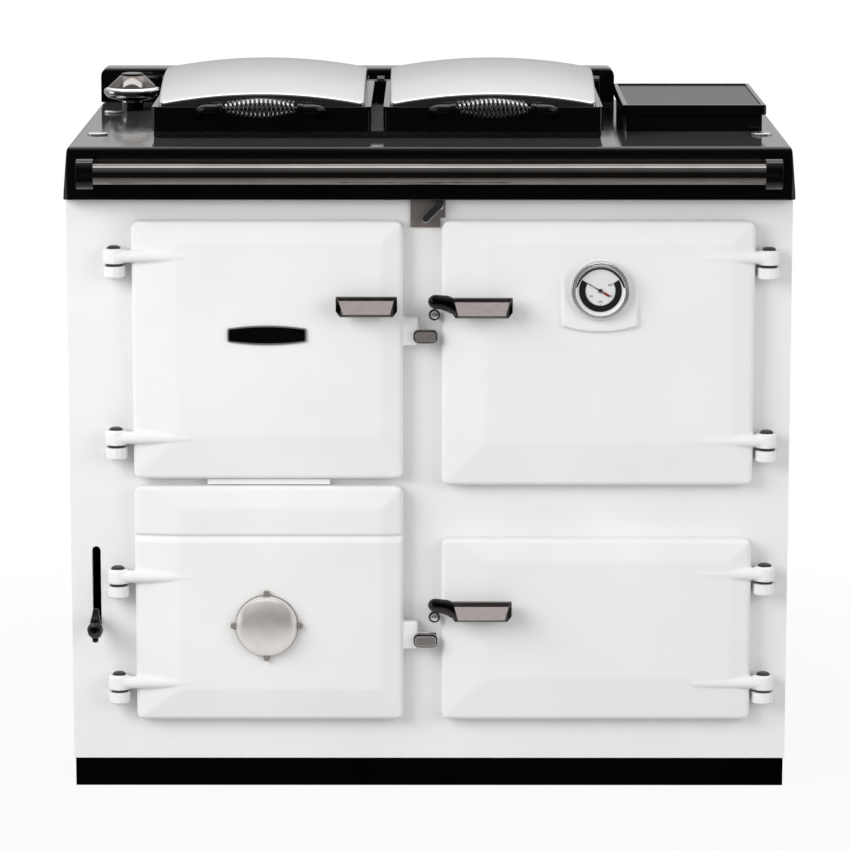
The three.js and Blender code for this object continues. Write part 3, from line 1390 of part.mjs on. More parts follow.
for (const [name, door] of Object.entries(doors)) {
  door.pinTops.forEach((pinTop, k) => {
    place(`${name}_hinge_pin_${k ? 'lower' : 'upper'}`, hingePin(door.pinX, pinTop), 'darkNickel');
  });
}
place('fire_door', fireDoor(), 'whiteEnamel');
place('ash_door', ashDoor(), 'whiteEnamel');
place('main_oven_door', mainOvenDoor(), 'whiteEnamel');
place('lower_oven_door', lowerOvenDoor(), 'whiteEnamel');
place('fire_door_handle', fireGrip(), 'darkNickel');
place('main_oven_handle', ovenGrip(gripHeights.main_oven), 'darkNickel');
place('lower_oven_handle', ovenGrip(gripHeights.lower_oven), 'darkNickel');
place('latch_keeper_upper', keeper(gripHeights.main_oven), 'chrome');
place('latch_keeper_lower', keeper(gripHeights.lower_oven), 'chrome');
place('fire_door_latch', latch(latchHeights.fire), 'darkNickel');
place('ash_door_latch', latch(latchHeights.ash), 'darkNickel');
place('spinwheel', spinwheel(), 'darkNickel');
place('spinwheel_collar', spinwheelCollar(), 'steel');
place('spinwheel_spindle', spinwheelSpindle(), 'steel');
place('thermometer_case', thermometerCase(), 'chrome');
place('thermometer_glass', thermometerGlass(), 'glass');
place('thermometer_pointer', thermometerPointer(), 'castIron');

place('firebox', firebox(), 'castIron');
place('fire_grate', fireGrate(), 'castIron');
place('riddling_link', riddlingLink(), 'steel');
place('riddling_lever', riddlingLever(), 'castIron');
place('ash_pan', ashPan(), 'steel');
place('main_oven_box', ovenBox(doors.main_oven, true), 'castIron');
place('lower_oven_box', ovenBox(doors.lower_oven, false), 'castIron');
place('main_oven_shelf', ovenShelf(), 'steel');

place('damper_plate', damperPlate(), 'steel');
place('damper_lever', damperLever(), 'darkNickel');
place('flue_box', flueBox(), 'castIron');
place('flue_cover', flueCover(), 'blackEnamel');
place('flue_spigot', flueSpigot(), 'castIron');
place('thermostat_dial', thermostatDial(), 'chrome');

// The cooker stands on the floor, centred on its whole width and depth.
cooker.position.y = -(railY - railRadius + outletBack) / 2;

export default cooker;
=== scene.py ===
"""Looks of a cast iron range cooker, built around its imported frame. Metres, +Z up, the front faces -Y."""

import json
import math

import bpy
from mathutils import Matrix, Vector


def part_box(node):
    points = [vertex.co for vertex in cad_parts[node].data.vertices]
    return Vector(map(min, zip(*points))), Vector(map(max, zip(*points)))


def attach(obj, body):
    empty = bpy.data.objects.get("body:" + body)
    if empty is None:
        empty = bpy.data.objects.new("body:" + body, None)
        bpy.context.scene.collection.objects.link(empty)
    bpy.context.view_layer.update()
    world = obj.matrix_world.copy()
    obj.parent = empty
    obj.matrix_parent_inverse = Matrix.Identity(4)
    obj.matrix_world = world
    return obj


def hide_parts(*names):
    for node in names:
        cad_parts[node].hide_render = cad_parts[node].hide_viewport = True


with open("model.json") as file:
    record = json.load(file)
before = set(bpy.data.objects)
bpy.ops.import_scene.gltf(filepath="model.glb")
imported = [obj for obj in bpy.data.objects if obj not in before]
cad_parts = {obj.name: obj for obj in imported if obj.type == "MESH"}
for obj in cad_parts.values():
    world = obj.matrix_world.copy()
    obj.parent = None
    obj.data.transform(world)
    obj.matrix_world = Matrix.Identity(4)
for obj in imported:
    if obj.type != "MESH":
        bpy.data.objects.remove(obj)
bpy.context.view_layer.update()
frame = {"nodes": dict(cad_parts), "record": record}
nodes = frame["nodes"]
MM = 0.001
SEAT = 0.3 * MM  # the gap between a piece and what it rests on
UP = (0, 0, 1)
FORWARD = (0, -1, 0)

# ---- Camera ----
CAMERA_AT = Vector((0.0038, -5.902, 1.5175))
CAMERA_PITCH = 0.1769
CAMERA_YAW = 0.00175
CAMERA_LENS = 174.0


def link(piece):
    bpy.context.scene.collection.objects.link(piece)


def add_camera():
    data = bpy.data.cameras.new("camera")
    data.lens = CAMERA_LENS
    data.sensor_width = 36
    data.clip_end = 60
    camera = bpy.data.objects.new("camera", data)
    camera.location = CAMERA_AT
    camera.rotation_euler = (math.pi / 2 - CAMERA_PITCH, 0, CAMERA_YAW)
    link(camera)
    bpy.context.scene.camera = camera


add_camera()


# ---- Materials ----
def material(name):
    made = bpy.data.materials.new(name)
    made.use_nodes = True
    return made, made.node_tree, made.node_tree.nodes["Principled BSDF"]


def fill(node, values):
    """Sets a node's unlinked inputs."""
    for socket, value in values.items():
        node.inputs[socket].default_value = value


def noise(tree, scale, detail=3.0, stretch=(1, 1, 1)):
    """A noise texture on the piece's own coordinates, in cycles per metre."""
    place = tree.nodes.new("ShaderNodeTexCoord")
    mapping = tree.nodes.new("ShaderNodeMapping")
    texture = tree.nodes.new("ShaderNodeTexNoise")
    fill(mapping, {"Scale": stretch})
    fill(texture, {"Scale": scale, "Detail": detail})
    tree.links.new(place.outputs["Object"], mapping.inputs["Vector"])
    tree.links.new(mapping.outputs["Vector"], texture.inputs["Vector"])
    return texture.outputs["Fac"]


def spread(tree, value, low, high, start=0.3, end=0.7):
    """Maps a texture's middle range to values from low to high."""
    node = tree.nodes.new("ShaderNodeMapRange")
    fill(node, {"From Min": start, "From Max": end, "To Min": low, "To Max": high})
    tree.links.new(value, node.inputs["Value"])
    return node.outputs["Result"]


def tint(tree, value, low, high, start=0.3, end=0.7):
    node = tree.nodes.new("ShaderNodeValToRGB")
    node.color_ramp.elements[0].position = start
    node.color_ramp.elements[0].color = (*low, 1)
    node.color_ramp.elements[1].position = end
    node.color_ramp.elements[1].color = (*high, 1)
    tree.links.new(value, node.inputs["Fac"])
    return node.outputs["Color"]


def bump(tree, shader, height, strength, distance):
    node = tree.nodes.new("ShaderNodeBump")
    fill(node, {"Strength": strength, "Distance": distance})
    tree.links.new(height, node.inputs["Height"])
    tree.links.new(node.outputs["Normal"], shader.inputs["Normal"])


def maths(tree, operation, first, second=0):
    """A Math node on numbers or sockets."""
    node = tree.nodes.new("ShaderNodeMath")
    node.operation = operation
    for socket, value in zip(node.inputs, (first, second)):
        if isinstance(value, (int, float)):
            socket.default_value = value
        else:
            tree.links.new(value, socket)
    return node.outputs["Value"]


def grey(value):
    return (value, value, value)


def surface(name, tone, gloss, relief, metallic=0.0, specular=0.5):
    """A finish whose colour, roughness and relief each follow a noise.

    Tone is a noise with its dark and light colour, gloss a noise with the least and most roughness, and
    relief a noise with its strength and height in millimetres. A noise is its scale, detail and stretch.
    """
    made, tree, shader = material(name)
    fill(shader, {"Metallic": metallic, "Specular IOR Level": specular})
    grains = {grain: noise(tree, *grain) for grain in dict.fromkeys((tone[0], gloss[0], relief[0]))}
    tree.links.new(tint(tree, grains[tone[0]], *tone[1:]), shader.inputs["Base Color"])
    tree.links.new(spread(tree, grains[gloss[0]], *gloss[1:]), shader.inputs["Roughness"])
    bump(tree, shader, grains[relief[0]], relief[1], relief[2] * MM)
    return made


def black_enamel(name="black_vitreous_enamel", smoothest=0.02, roughest=0.06):
    return surface(name, ((7,), (0.001, 0.001, 0.0012), (0.002, 0.002, 0.0022)),
                   ((30,), smoothest, roughest), ((60, 2), 0.02, 0.3))


def hob_enamel():
    """Black enamel with a faint sheen, which pales it at a low angle."""
    made = black_enamel("hob_enamel", 0.08, 0.11)
    fill(made.node_tree.nodes["Principled BSDF"], {"Sheen Weight": 0.06, "Sheen Roughness": 0.3})
    return made


def satin_nickel(name, brightness):
    """Brushed warm grey nickel, whose colour is multiplied by the brightness."""
    grain = (500, 3, (0.2, 1, 1))
    dark = tuple(brightness * c for c in (0.38, 0.335, 0.32))
    light = tuple(brightness * c for c in (0.45, 0.40, 0.385))
    return surface(name, (grain, dark, light), (grain, 0.36, 0.46), (grain, 0.04, 0.1), 0.35)


def printed(name, scale, dark, light, roughness):
    """Matt print or paint."""
    made, tree, shader = material(name)
    tree.links.new(tint(tree, noise(tree, scale), dark, light), shader.inputs["Base Color"])
    fill(shader, {"Roughness": roughness})
    return made


def clear_glass():
    made, _, shader = material("clear_glass")
    fill(shader, {"Base Color": (0.02, 0.022, 0.024, 1), "Roughness": 0.02, "Alpha": 0.05})
    return made


STEEL_STREAKS = (40, 4, (1, 1, 18))
IRON_GRAIN = (420, 5)
ROPE_FIBRES = (900, 4, (1, 1, 0.25))
FINISH = {
    "white_enamel": surface("white_vitreous_enamel", ((6,), (0.83, 0.83, 0.82), (0.87, 0.87, 0.862)),
                            ((22,), 0.10, 0.18), ((90, 2), 0.05, 0.4)),
    "black_enamel": black_enamel(),
    "chrome": surface("polished_chrome", ((12,), (0.80, 0.80, 0.81), (0.87, 0.87, 0.88)),
                      ((45,), 0.03, 0.09), ((25, 2), 0.02, 0.3), 1),
    "dark_nickel": surface("black_nickel", ((40,), (0.035, 0.031, 0.03), (0.055, 0.049, 0.048)),
                           ((120,), 0.10, 0.16), ((300, 2), 0.03, 0.1), 1),
    "steel": surface("brushed_steel", (STEEL_STREAKS, (0.36, 0.345, 0.34), (0.46, 0.44, 0.435)),
                     (STEEL_STREAKS, 0.28, 0.42), (STEEL_STREAKS, 0.06, 0.1), 1),
    "cast_iron": surface("raw_cast_iron", ((14,), (0.035, 0.034, 0.033), (0.065, 0.062, 0.06)),
                         (IRON_GRAIN, 0.55, 0.75), (IRON_GRAIN, 0.35, 0.4), 0.35),
    "glass": clear_glass(),
}
BLACK_ENAMEL = FINISH["black_enamel"]
PLINTH_BLACK = surface("satin_black_plinth", ((9,), grey(0.0004), grey(0.001)),
                       ((50,), 0.3, 0.42), ((140,), 0.05, 0.2), specular=0.01)
PANEL_BLACK = surface("satin_black_panel", ((60,), grey(0.0068), grey(0.0082)),
                      ((240,), 0.31, 0.33), ((900, 2), 0.01, 0.05), specular=0.25)
SEAL_ROPE = surface("graphite_rope", (ROPE_FIBRES, grey(0.003), (0.014, 0.0135, 0.013)),
                    (ROPE_FIBRES, 0.55, 0.7), (ROPE_FIBRES, 0.3, 0.3), specular=0.25)
PEWTER = surface("brushed_pewter", ((60,), (0.80, 0.755, 0.74), (0.87, 0.825, 0.81)),
                 ((200,), 0.3, 0.38), ((700, 2), 0.04, 0.1), 0.65)
SMOKED_CHROME = surface("smoked_chrome", ((30,), (0.165, 0.152, 0.145), (0.195, 0.18, 0.17)),
                        ((90,), 0.05, 0.08), ((200, 2), 0.02, 0.1), 1)
BRIGHT_STEEL = surface("satin_chrome", ((200,), grey(0.62), grey(0.7)),
                       ((300,), 0.2, 0.28), ((500, 2), 0.03, 0.1), 0.8)
DOME_STEEL = surface("polished_stainless", ((8,), grey(0.50), grey(0.54)),
                     ((60,), 0.10, 0.14), ((18, 2), 0.02, 0.3), 1)
SPRING_STEEL = surface("spring_steel", ((40,), (0.40, 0.39, 0.385), (0.48, 0.47, 0.465)),
                       ((120,), 0.06, 0.12), ((300, 2), 0.02, 0.1), 1)
SATIN_NICKEL = satin_nickel("satin_nickel", 1.25)
SMOKED_NICKEL = satin_nickel("smoked_nickel", 0.55)
PIN_NICKEL = satin_nickel("pin_nickel", 0.14)
LUG_NICKEL = satin_nickel("lug_nickel", 0.8)
SATIN_BLACK = black_enamel("satin_black", 0.22, 0.3)
DIAL_WHITE = printed("dial_white", 300, (0.86, 0.87, 0.88), (0.9, 0.9, 0.91), 0.45)
# Black print on the dial, also used for the painted shade in the thermometer's throat
INK_AND_PAINTED_SHADE = printed("dial_black", 400, (0.0096, 0.0096, 0.0104), (0.012, 0.012, 0.013), 0.5)
NEEDLE_RED = printed("needle_red", 400, (0.24, 0.04, 0.024), (0.30, 0.05, 0.03), 0.5)


# ---- Carried-over frame nodes ----
def finish_nodes():
    """Every frame node gets its slot's material."""
    for entry in frame["record"]["subparts"]:
        node = nodes[entry["node"]]
        node.data.materials.clear()
        node.data.materials.append(FINISH[entry["material_slot"]])


def weld(piece):
    """Joins the doubled corners of a frame mesh."""
    modifier = piece.modifiers.new("weld", "WELD")
    modifier.merge_threshold = 0.01 * MM


def round_edges(piece, width, segments=3, angle=30):
    """Bevels the edges that are sharper than an angle in degrees."""
    bevel = piece.modifiers.new("bevel", "BEVEL")
    bevel.width = width
    bevel.segments = segments
    bevel.limit_method = "ANGLE"
    bevel.angle_limit = math.radians(angle)
    normals = piece.modifiers.new("normals", "WEIGHTED_NORMAL")
    normals.keep_sharp = False


def soften(node_name, width):
    """Rounds a frame node's hard edges."""
    node = nodes[node_name]
    weld(node)
    flats = node.modifiers.new("flats", "DECIMATE")
    flats.decimate_type = "DISSOLVE"
    flats.angle_limit = math.radians(0.5)
    round_edges(node, width, angle=28)


def melt(node_name, voxel, passes):
    """Gives a node the continuous skin of a casting, with round edges and filled creases."""
    node = nodes[node_name]
    weld(node)
    remesh = node.modifiers.new("remesh", "REMESH")
    remesh.mode = "VOXEL"
    remesh.voxel_size = voxel
    remesh.use_smooth_shade = True
    smooth = node.modifiers.new("smooth", "SMOOTH")
    smooth.factor = 0.5
    smooth.iterations = passes


# Variants of a slot's finish
REFINISHED = {
    "plinth": PLINTH_BLACK, "towel_rail": SMOKED_CHROME, "flue_box": BLACK_ENAMEL,
    "riddling_lever": BLACK_ENAMEL, "damper_lever": FINISH["chrome"],
    "lid_hinge_rod": BLACK_ENAMEL, "damper_plate": SMOKED_NICKEL, "top_plate": hob_enamel(),
}
DOOR_VOXEL = 1.6 * MM
# Nodes with their voxel and passes of smoothing
MELTED = (
    (("fire_door", "ash_door", "main_oven_door", "lower_oven_door"), DOOR_VOXEL, 6),
    (("fire_door_handle", "main_oven_handle", "lower_oven_handle"), 0.6 * MM, 3),
    (("fire_door_latch", "ash_door_latch", "latch_keeper_upper", "latch_keeper_lower", "damper_lever"),
     0.5 * MM, 4),
    (("riddling_lever",), 0.8 * MM, 4),
)
SOFTENED = (
    "plinth", "left_side_panel", "right_side_panel", "back_panel", "front_plate", "firebox", "fire_grate",
    "ash_pan", "main_oven_box", "lower_oven_box", "main_oven_shelf", "flue_spigot", "riddling_link",
    "left_lid_base", "right_lid_base", "top_plate", "rear_upstand", "rail_bracket_left",
    "rail_bracket_right", "flue_box", "flue_cover", "damper_plate", "lid_hinge_rod", "towel_rail",
    "hotplate", "spinwheel_collar", "spinwheel_spindle",
)
EDGE_ROUNDING = 0.8 * MM

finish_nodes()
for name, finish in REFINISHED.items():
    nodes[name].data.materials[0] = finish
for names, voxel, passes in MELTED:
    for name in names:
        melt(name, voxel, passes)
for name in SOFTENED:
    soften(name, EDGE_ROUNDING)


# ---- Mesh helpers ----
def mesh_piece(name, shape, finish, body, replaces=(), sharp=40):
    """A piece from (vertices, faces), smooth but for edges sharper than an angle in degrees."""
    vertices, faces = shape
    mesh = bpy.data.meshes.new(name)
    mesh.from_pydata([tuple(v) for v in vertices], [], faces)
    mesh.validate()
    mesh.shade_smooth()
    mesh.set_sharp_from_angle(angle=math.radians(sharp))
    mesh.materials.append(finish)
    piece = bpy.data.objects.new(name, mesh)
    link(piece)
    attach(piece, body)
    if replaces:
        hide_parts(*replaces)
    return piece


def middle(node_name):
    low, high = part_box(node_name)
    return (low + high) / 2


def foot_of(node_name):
    """The middle of a node's underside."""
    centre = middle(node_name)
    return Vector((centre.x, centre.y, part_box(node_name)[0].z))


def back_of(node_name):
    """The middle of a node's back, which is what it is mounted by."""
    centre = middle(node_name)
    return Vector((centre.x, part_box(node_name)[1].y, centre.z))


def half_size(node_name):
    """Half of a node's width and depth."""
    low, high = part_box(node_name)
    return (high.x - low.x) / 2, (high.y - low.y) / 2


def skin(levels, count, closed=False):
    """Faces between rings of count vertices, where closed also from the last ring to the first."""
    faces = []
    for i in range(levels if closed else levels - 1):
        low, high = i * count, (i + 1) % levels * count
        for j in range(count):
            k = (j + 1) % count
            faces.append((low + j, low + k, high + k, high + j))
    return faces


def prism(near, far, turned_over=False):
    """A solid between two like outlines. Turned over, its faces run the other way round."""
    count = len(near)
    around = [(j, (j + 1) % count) for j in range(count)]
    first, last = range(count), range(count, 2 * count)
    if turned_over:
        faces = [tuple(first), tuple(reversed(last))]
        faces += [(j, j + count, k + count, k) for j, k in around]
    else:
        faces = [tuple(reversed(first)), tuple(last)]
        faces += [(j, k, k + count, j + count) for j, k in around]
    return near + far, faces


def basis(axis):
    """Two directions square to an axis."""
    axis = Vector(axis).normalized()
    aside = Vector(UP) if abs(axis.z) < 0.9 else Vector((1, 0, 0))
    first = axis.cross(aside).normalized()
    return axis, first, axis.cross(first)


def lathe(profile, origin, axis, segments=64):
    """Vertices and faces of a closed profile of (radius, distance) points turned about an axis."""
    axis, first, second = basis(axis)
    origin = Vector(origin)
    rings = []
    vertices = []
    for radius, distance in profile:
        centre = origin + axis * distance
        if radius < 1e-7:
            rings.append([len(vertices)])
            vertices.append(centre)
            continue
        rings.append(list(range(len(vertices), len(vertices) + segments)))
        for k in range(segments):
            turn = 2 * math.pi * k / segments
            vertices.append(centre + radius * (math.cos(turn) * first + math.sin(turn) * second))
    faces = []
    for low, high in zip(rings, rings[1:]):
        for k in range(segments):
            after = (k + 1) % segments
            if len(low) == 1:
                faces.append((low[0], high[after], high[k]))
            elif len(high) == 1:
                faces.append((low[k], low[after], high[0]))
            else:
                faces.append((low[k], low[after], high[after], high[k]))
    return vertices, faces


def turned(profile, origin, axis, segments):
    """A lathe shape from a profile in millimetres."""
    return lathe([(r * MM, d * MM) for r, d in profile], origin, axis, segments)


def merged(*parts):
    """Several (vertices, faces) pairs as one."""
    vertices, faces = [], []
    for some_vertices, some_faces in parts:
        start = len(vertices)
        vertices += list(some_vertices)
        faces += [tuple(start + i for i in face) for face in some_faces]
    return vertices, faces


def tube(points, radii, sides=16, outward=None, flatness=1.0):
    """A closed tube along points. Outward gives each ring's first direction, which flatness leaves full."""
    vertices = []
    guide = None
    for i, point in enumerate(points):
        ahead = (points[min(i + 1, len(points) - 1)] - points[max(i - 1, 0)]).normalized()
        if outward:
            guide = outward[i]
        elif guide is None:
            guide = basis(ahead)[1]
        guide = (guide - guide.dot(ahead) * ahead).normalized()
        across = ahead.cross(guide)
        for j in range(sides):
            turn = 2 * math.pi * j / sides
            vertices.append(point + radii[i] * (math.cos(turn) * guide + flatness * math.sin(turn) * across))
    faces = skin(len(points), sides)
    last = (len(points) - 1) * sides
    faces.append(tuple(reversed(range(sides))))
    faces.append(tuple(range(last, last + sides)))
    return vertices, faces


# ---- Lids ----
DOME_EDGE = 3 * MM
DOME_CORNER = 3 * MM
DOME_RISE_ACROSS = 14 * MM
DOME_RISE_ALONG = 32 * MM
DOME_OUTLINE_RADIUS = 9 * MM
DOME_RINGS = 26
DOME_ROLL_STEPS = 5
DOME_SHARP = 60
LID_NAMES = ("left_lid", "right_lid")


def rounded_outline(half_x, half_y, radius, corner_steps=8, side_steps=24):
    """Points round a rectangle with round corners, anticlockwise, with points along its sides as well."""
    corners = [(1, 1), (-1, 1), (-1, -1), (1, -1)]
    points = []
    for k, (sx, sy) in enumerate(corners):
        centre = Vector((sx * (half_x - radius), sy * (half_y - radius)))
        for i in range(corner_steps + 1):
            turn = math.pi / 2 * (k + i / corner_steps)
            points.append(centre + radius * Vector((math.cos(turn), math.sin(turn))))
        next_sx, next_sy = corners[(k + 1) % 4]
        ahead = Vector((next_sx * (half_x - radius), next_sy * (half_y - radius)))
        turn = math.pi / 2 * (k + 1)
        start, end = points[-1], ahead + radius * Vector((math.cos(turn), math.sin(turn)))
        points += [start.lerp(end, i / side_steps) for i in range(1, side_steps)]
    return points


def lid_dome(lid):
    """The polished crown of a lid: bowed both ways, on upright walls with a rolled edge."""
    base_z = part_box(f"{lid}_dome")[0].z
    centre = middle(f"{lid}_dome")
    half_x, half_y = half_size(f"{lid}_dome")
    outline = rounded_outline(half_x, half_y, DOME_OUTLINE_RADIUS)

    def crown(x, y):
        u, v = x / half_x, y / half_y
        return DOME_CORNER + DOME_RISE_ACROSS * (1 - u * u) + DOME_RISE_ALONG * (1 - v * v)

    def ring(share, sink=0):
        scaled = [(p.x * share, p.y * share) for p in outline]
        return [(x, y, base_z + crown(x, y) - sink) for x, y in scaled]

    rings = [[(p.x, p.y, base_z) for p in outline]]
    for k in range(DOME_ROLL_STEPS + 1):
        turn = math.pi / 2 * k / DOME_ROLL_STEPS
        inset = DOME_EDGE * (1 - math.cos(turn))
        rings.append(ring(1 - inset / min(half_x, half_y), DOME_EDGE * (1 - math.sin(turn))))
    first_share = 1 - DOME_EDGE / min(half_x, half_y)
    rings += [ring(first_share * (1 - k / DOME_RINGS)) for k in range(1, DOME_RINGS)]
    count = len(outline)
    vertices = [Vector((centre.x + x, centre.y + y, z)) for level in rings for x, y, z in level]
    faces = skin(len(rings), count)
    vertices.append(Vector((centre.x, centre.y, base_z + crown(0, 0))))
    top = len(vertices) - 1
    last = (len(rings) - 1) * count
    faces += [(last + j, last + (j + 1) % count, top) for j in range(count)]
    faces.append(tuple(reversed(range(count))))
    mesh_piece(f"{lid}_crown", (vertices, faces), DOME_STEEL, lid, [f"{lid}_dome"], DOME_SHARP)


# ---- Spring handles ----
COIL_TURNS = 16
COIL_WIRE = 4 * MM
COIL_END_DIAMETER = 13.6 * MM
COIL_MIDDLE_DIAMETER = 29 * MM
COIL_STEPS = 28
COIL_SIDES = 12
COIL_SWELL = 1.2
# Shares of the ferrule's radius and length
FERRULE = [(0, 0), (0.8, 0), (1, 0.2), (1, 0.35), (0.9, 0.45), (1, 0.55), (1, 0.8), (0.85, 1), (0, 1)]
FERRULE_LENGTH = 8 * MM
FERRULE_RADIUS = 7 * MM
ARM_RADIUS = 6.5 * MM
ARM_SPREAD = 26 * MM
ARM_FOOT_DROP = 10.5 * MM
ARM_STEPS = 24
ARM_SIDES = 20
ARM_FOOT_SHARE = 1.25
ARM_TAPER = 0.35
GRIP_ROD_RADIUS = 2.4 * MM


def spring_coil(lid):
    """The sprung wire grip: one wire wound round the bar, fattest in the middle."""
    centre = middle(f"{lid}_coil")
    length = 2 * half_size(f"{lid}_coil")[0] - COIL_WIRE
    points, outward = [], []
    steps = COIL_TURNS * COIL_STEPS
    for i in range(steps + 1):
        t = i / steps
        swell = max(0.0, math.sin(math.pi * t)) ** COIL_SWELL
        radius = (COIL_END_DIAMETER + (COIL_MIDDLE_DIAMETER - COIL_END_DIAMETER) * swell - COIL_WIRE) / 2
        turn = 2 * math.pi * COIL_TURNS * t
        away = Vector((0, math.cos(turn), math.sin(turn)))
        points.append(Vector((centre.x + (t - 0.5) * length, centre.y, centre.z)) + radius * away)
        outward.append(away)
    shape = tube(points, [COIL_WIRE / 2] * (steps + 1), COIL_SIDES, outward)
    mesh_piece(f"{lid}_spring", shape, SPRING_STEEL, lid, [f"{lid}_coil"])


def lid_handle(lid):
    """Curved arms from the lid's front wall to the spring, with the rod through it and polished ferrules."""
    axis = middle(f"{lid}_coil")
    wall_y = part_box(f"{lid}_base")[0].y
    foot_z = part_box(f"{lid}_dome")[0].z - SEAT - ARM_FOOT_DROP
    bar_end = half_size(f"{lid}_coil")[0] + 2 * SEAT
    ferrule_end = bar_end + FERRULE_LENGTH
    arms, ferrules = [], []
    for side in (-1, 1):
        foot = Vector((axis.x + side * (ferrule_end + ARM_SPREAD), wall_y - SEAT, foot_z))
        bend = Vector((foot.x, axis.y, axis.z))
        end = Vector((axis.x + side * ferrule_end, axis.y, axis.z))
        shares = [i / ARM_STEPS for i in range(ARM_STEPS + 1)]
        curve = [foot * (1 - t) ** 2 + bend * 2 * t * (1 - t) + end * t * t for t in shares]
        radii = [ARM_RADIUS * (ARM_FOOT_SHARE - ARM_TAPER * i / ARM_STEPS) for i in range(ARM_STEPS + 1)]
        arms.append(tube(curve, radii, ARM_SIDES))
        start = Vector((axis.x + side * bar_end, axis.y, axis.z))
        scaled = [(r * FERRULE_RADIUS, d * FERRULE_LENGTH) for r, d in FERRULE]
        ferrules.append(lathe(scaled, start, (side, 0, 0), 32))
    rod_from = Vector((axis.x - ferrule_end, axis.y, axis.z))
    rod = [(0, 0), (GRIP_ROD_RADIUS, 0), (GRIP_ROD_RADIUS, 2 * ferrule_end), (0, 2 * ferrule_end)]
    arms.append(lathe(rod, rod_from, (1, 0, 0), ARM_SIDES))
    mesh_piece(f"{lid}_handle_arms", merged(*arms), SATIN_BLACK, lid, [f"{lid}_handle_bar"])
    mesh_piece(f"{lid}_ferrules", merged(*ferrules), FINISH["dark_nickel"], lid)


for lid_name in LID_NAMES:
    lid_dome(lid_name)
    spring_coil(lid_name)
    lid_handle(lid_name)


# ---- Hotplate seal ----
SEAL_RIB_PITCH = 4.2 * MM
SEAL_BULGE = 1.6 * MM
SEAL_CORNER = 9 * MM
SEAL_WIDTH = 12 * MM
SEAL_SAMPLES = 4  # for each rib
# Shares of the seal's height and of the ribs' bulge there
SEAL_LEVELS = [(0.0, 0.6), (0.15, 0.9), (0.5, 1.0), (0.85, 0.9), (1.0, 0.6)]


def outline_length(outline):
    return sum((b - a).length for a, b in zip(outline, outline[1:] + outline[:1]))


def even_walk(outline, samples):
    """Evenly spaced points along a closed outline."""
    length = outline_length(outline)
    walk = []
    position, index, rest = 0.0, 0, (outline[1] - outline[0]).length
    for k in range(samples):
        target = length * k / samples
        while position + rest < target:
            position += rest
            index += 1
            rest = (outline[(index + 1) % len(outline)] - outline[index % len(outline)]).length
        start, end = outline[index % len(outline)], outline[(index + 1) % len(outline)]
        walk.append(start.lerp(end, (target - position) / rest))
    return walk


def ribbed_seal():
    """The woven rope seal under the lids: a band with close upright ribs."""
    low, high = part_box("hotplate_seal")
    centre = middle("hotplate_seal")
    half_x, half_y = half_size("hotplate_seal")
    outline = rounded_outline(half_x, half_y, SEAL_CORNER, 8, 12)
    ribs = round(outline_length(outline) / SEAL_RIB_PITCH)
    samples = ribs * SEAL_SAMPLES
    walk = even_walk(outline, samples)

    def ring(share_x, share_y, z):
        return [Vector((centre.x + p.x * share_x, centre.y + p.y * share_y, z)) for p in walk]

    vertices = []
    for height, bulge in SEAL_LEVELS:
        z = low.z + height * (high.z - low.z)
        for k, point in enumerate(walk):
            rib = abs(math.sin(math.pi * k * ribs / samples))
            out = 1 - SEAL_BULGE * (1 - bulge * (0.35 + 0.65 * rib)) / half_y
            vertices.append(Vector((centre.x + point.x * out, centre.y + point.y * out, z)))
    for z in (high.z, low.z):
        vertices += ring(1 - SEAL_WIDTH / half_x, 1 - SEAL_WIDTH / half_y, z)
    faces = skin(len(SEAL_LEVELS) + 2, samples, closed=True)
    mesh_piece("ribbed_seal", (vertices, faces), SEAL_ROPE, "root", ["hotplate_seal"])


ribbed_seal()

# ---- Hinge pins ----
PIN_RADIUS = 9 * MM
PIN_CROWN = 2.6 * MM
# Inset from the pin's radius, and share of the crown's height that is still above
PIN_CROWN_POINTS = ((1 * MM, 0.55), (3 * MM, 0.2))
PIN_SUNK = 1.2 * MM
PIN_PROUD = 5 * MM
PIN_SHARP = 60
COLLAR_RADIUS = 11.5 * MM
COLLAR_HEIGHT = 3 * MM
COLLAR_EDGE = 0.5 * MM
ARM_HEIGHT = 21 * MM


def hinge_pin(door, end):
    """A hinge pin with a domed head and the collar that the arm turns on."""
    node = f"{door}_hinge_pin_{end}"
    low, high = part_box(node)
    top = high.z - low.z - PIN_SUNK
    collar_top = high.z - low.z - PIN_PROUD - ARM_HEIGHT - SEAT
    collar_foot = collar_top - COLLAR_HEIGHT
    profile = [
        (0, 0), (PIN_RADIUS, 0), (PIN_RADIUS, collar_foot), (COLLAR_RADIUS - COLLAR_EDGE, collar_foot),
        (COLLAR_RADIUS, collar_foot + COLLAR_EDGE), (COLLAR_RADIUS, collar_top - COLLAR_EDGE),
        (COLLAR_RADIUS - COLLAR_EDGE, collar_top), (PIN_RADIUS, collar_top), (PIN_RADIUS, top - PIN_CROWN),
        *[(PIN_RADIUS - inset, top - share * PIN_CROWN) for inset, share in PIN_CROWN_POINTS], (0, top),
    ]
    shape = lathe(profile, foot_of(node), UP, 48)
    mesh_piece(f"{door}_pin_{end}", shape, PIN_NICKEL, "root", [node], PIN_SHARP)


for door_name in ("fire", "ash", "main_oven", "lower_oven"):
    for pin_end in ("upper", "lower"):
        hinge_pin(door_name, pin_end)

# ---- Spinwheel ----
WHEEL_RADIUS = 43 * MM
WHEEL_DEPTH = 24 * MM
WHEEL_SHELL = 4 * MM
WHEEL_EDGE = 3 * MM
WHEEL_FULLNESS = 0.85
WHEEL_STEPS = 14
WHEEL_LUG = 8 * MM
WHEEL_LUG_WIDTH = 0.7
WHEEL_LUG_DEPTH = 7 * MM
# Shares of a lug's reach and half width
WHEEL_LUG_OUTLINE = [(-0.3, -1), (0.7, -0.7), (1.0, -0.45), (1.0, 0.45), (0.7, 0.7), (-0.3, 1)]
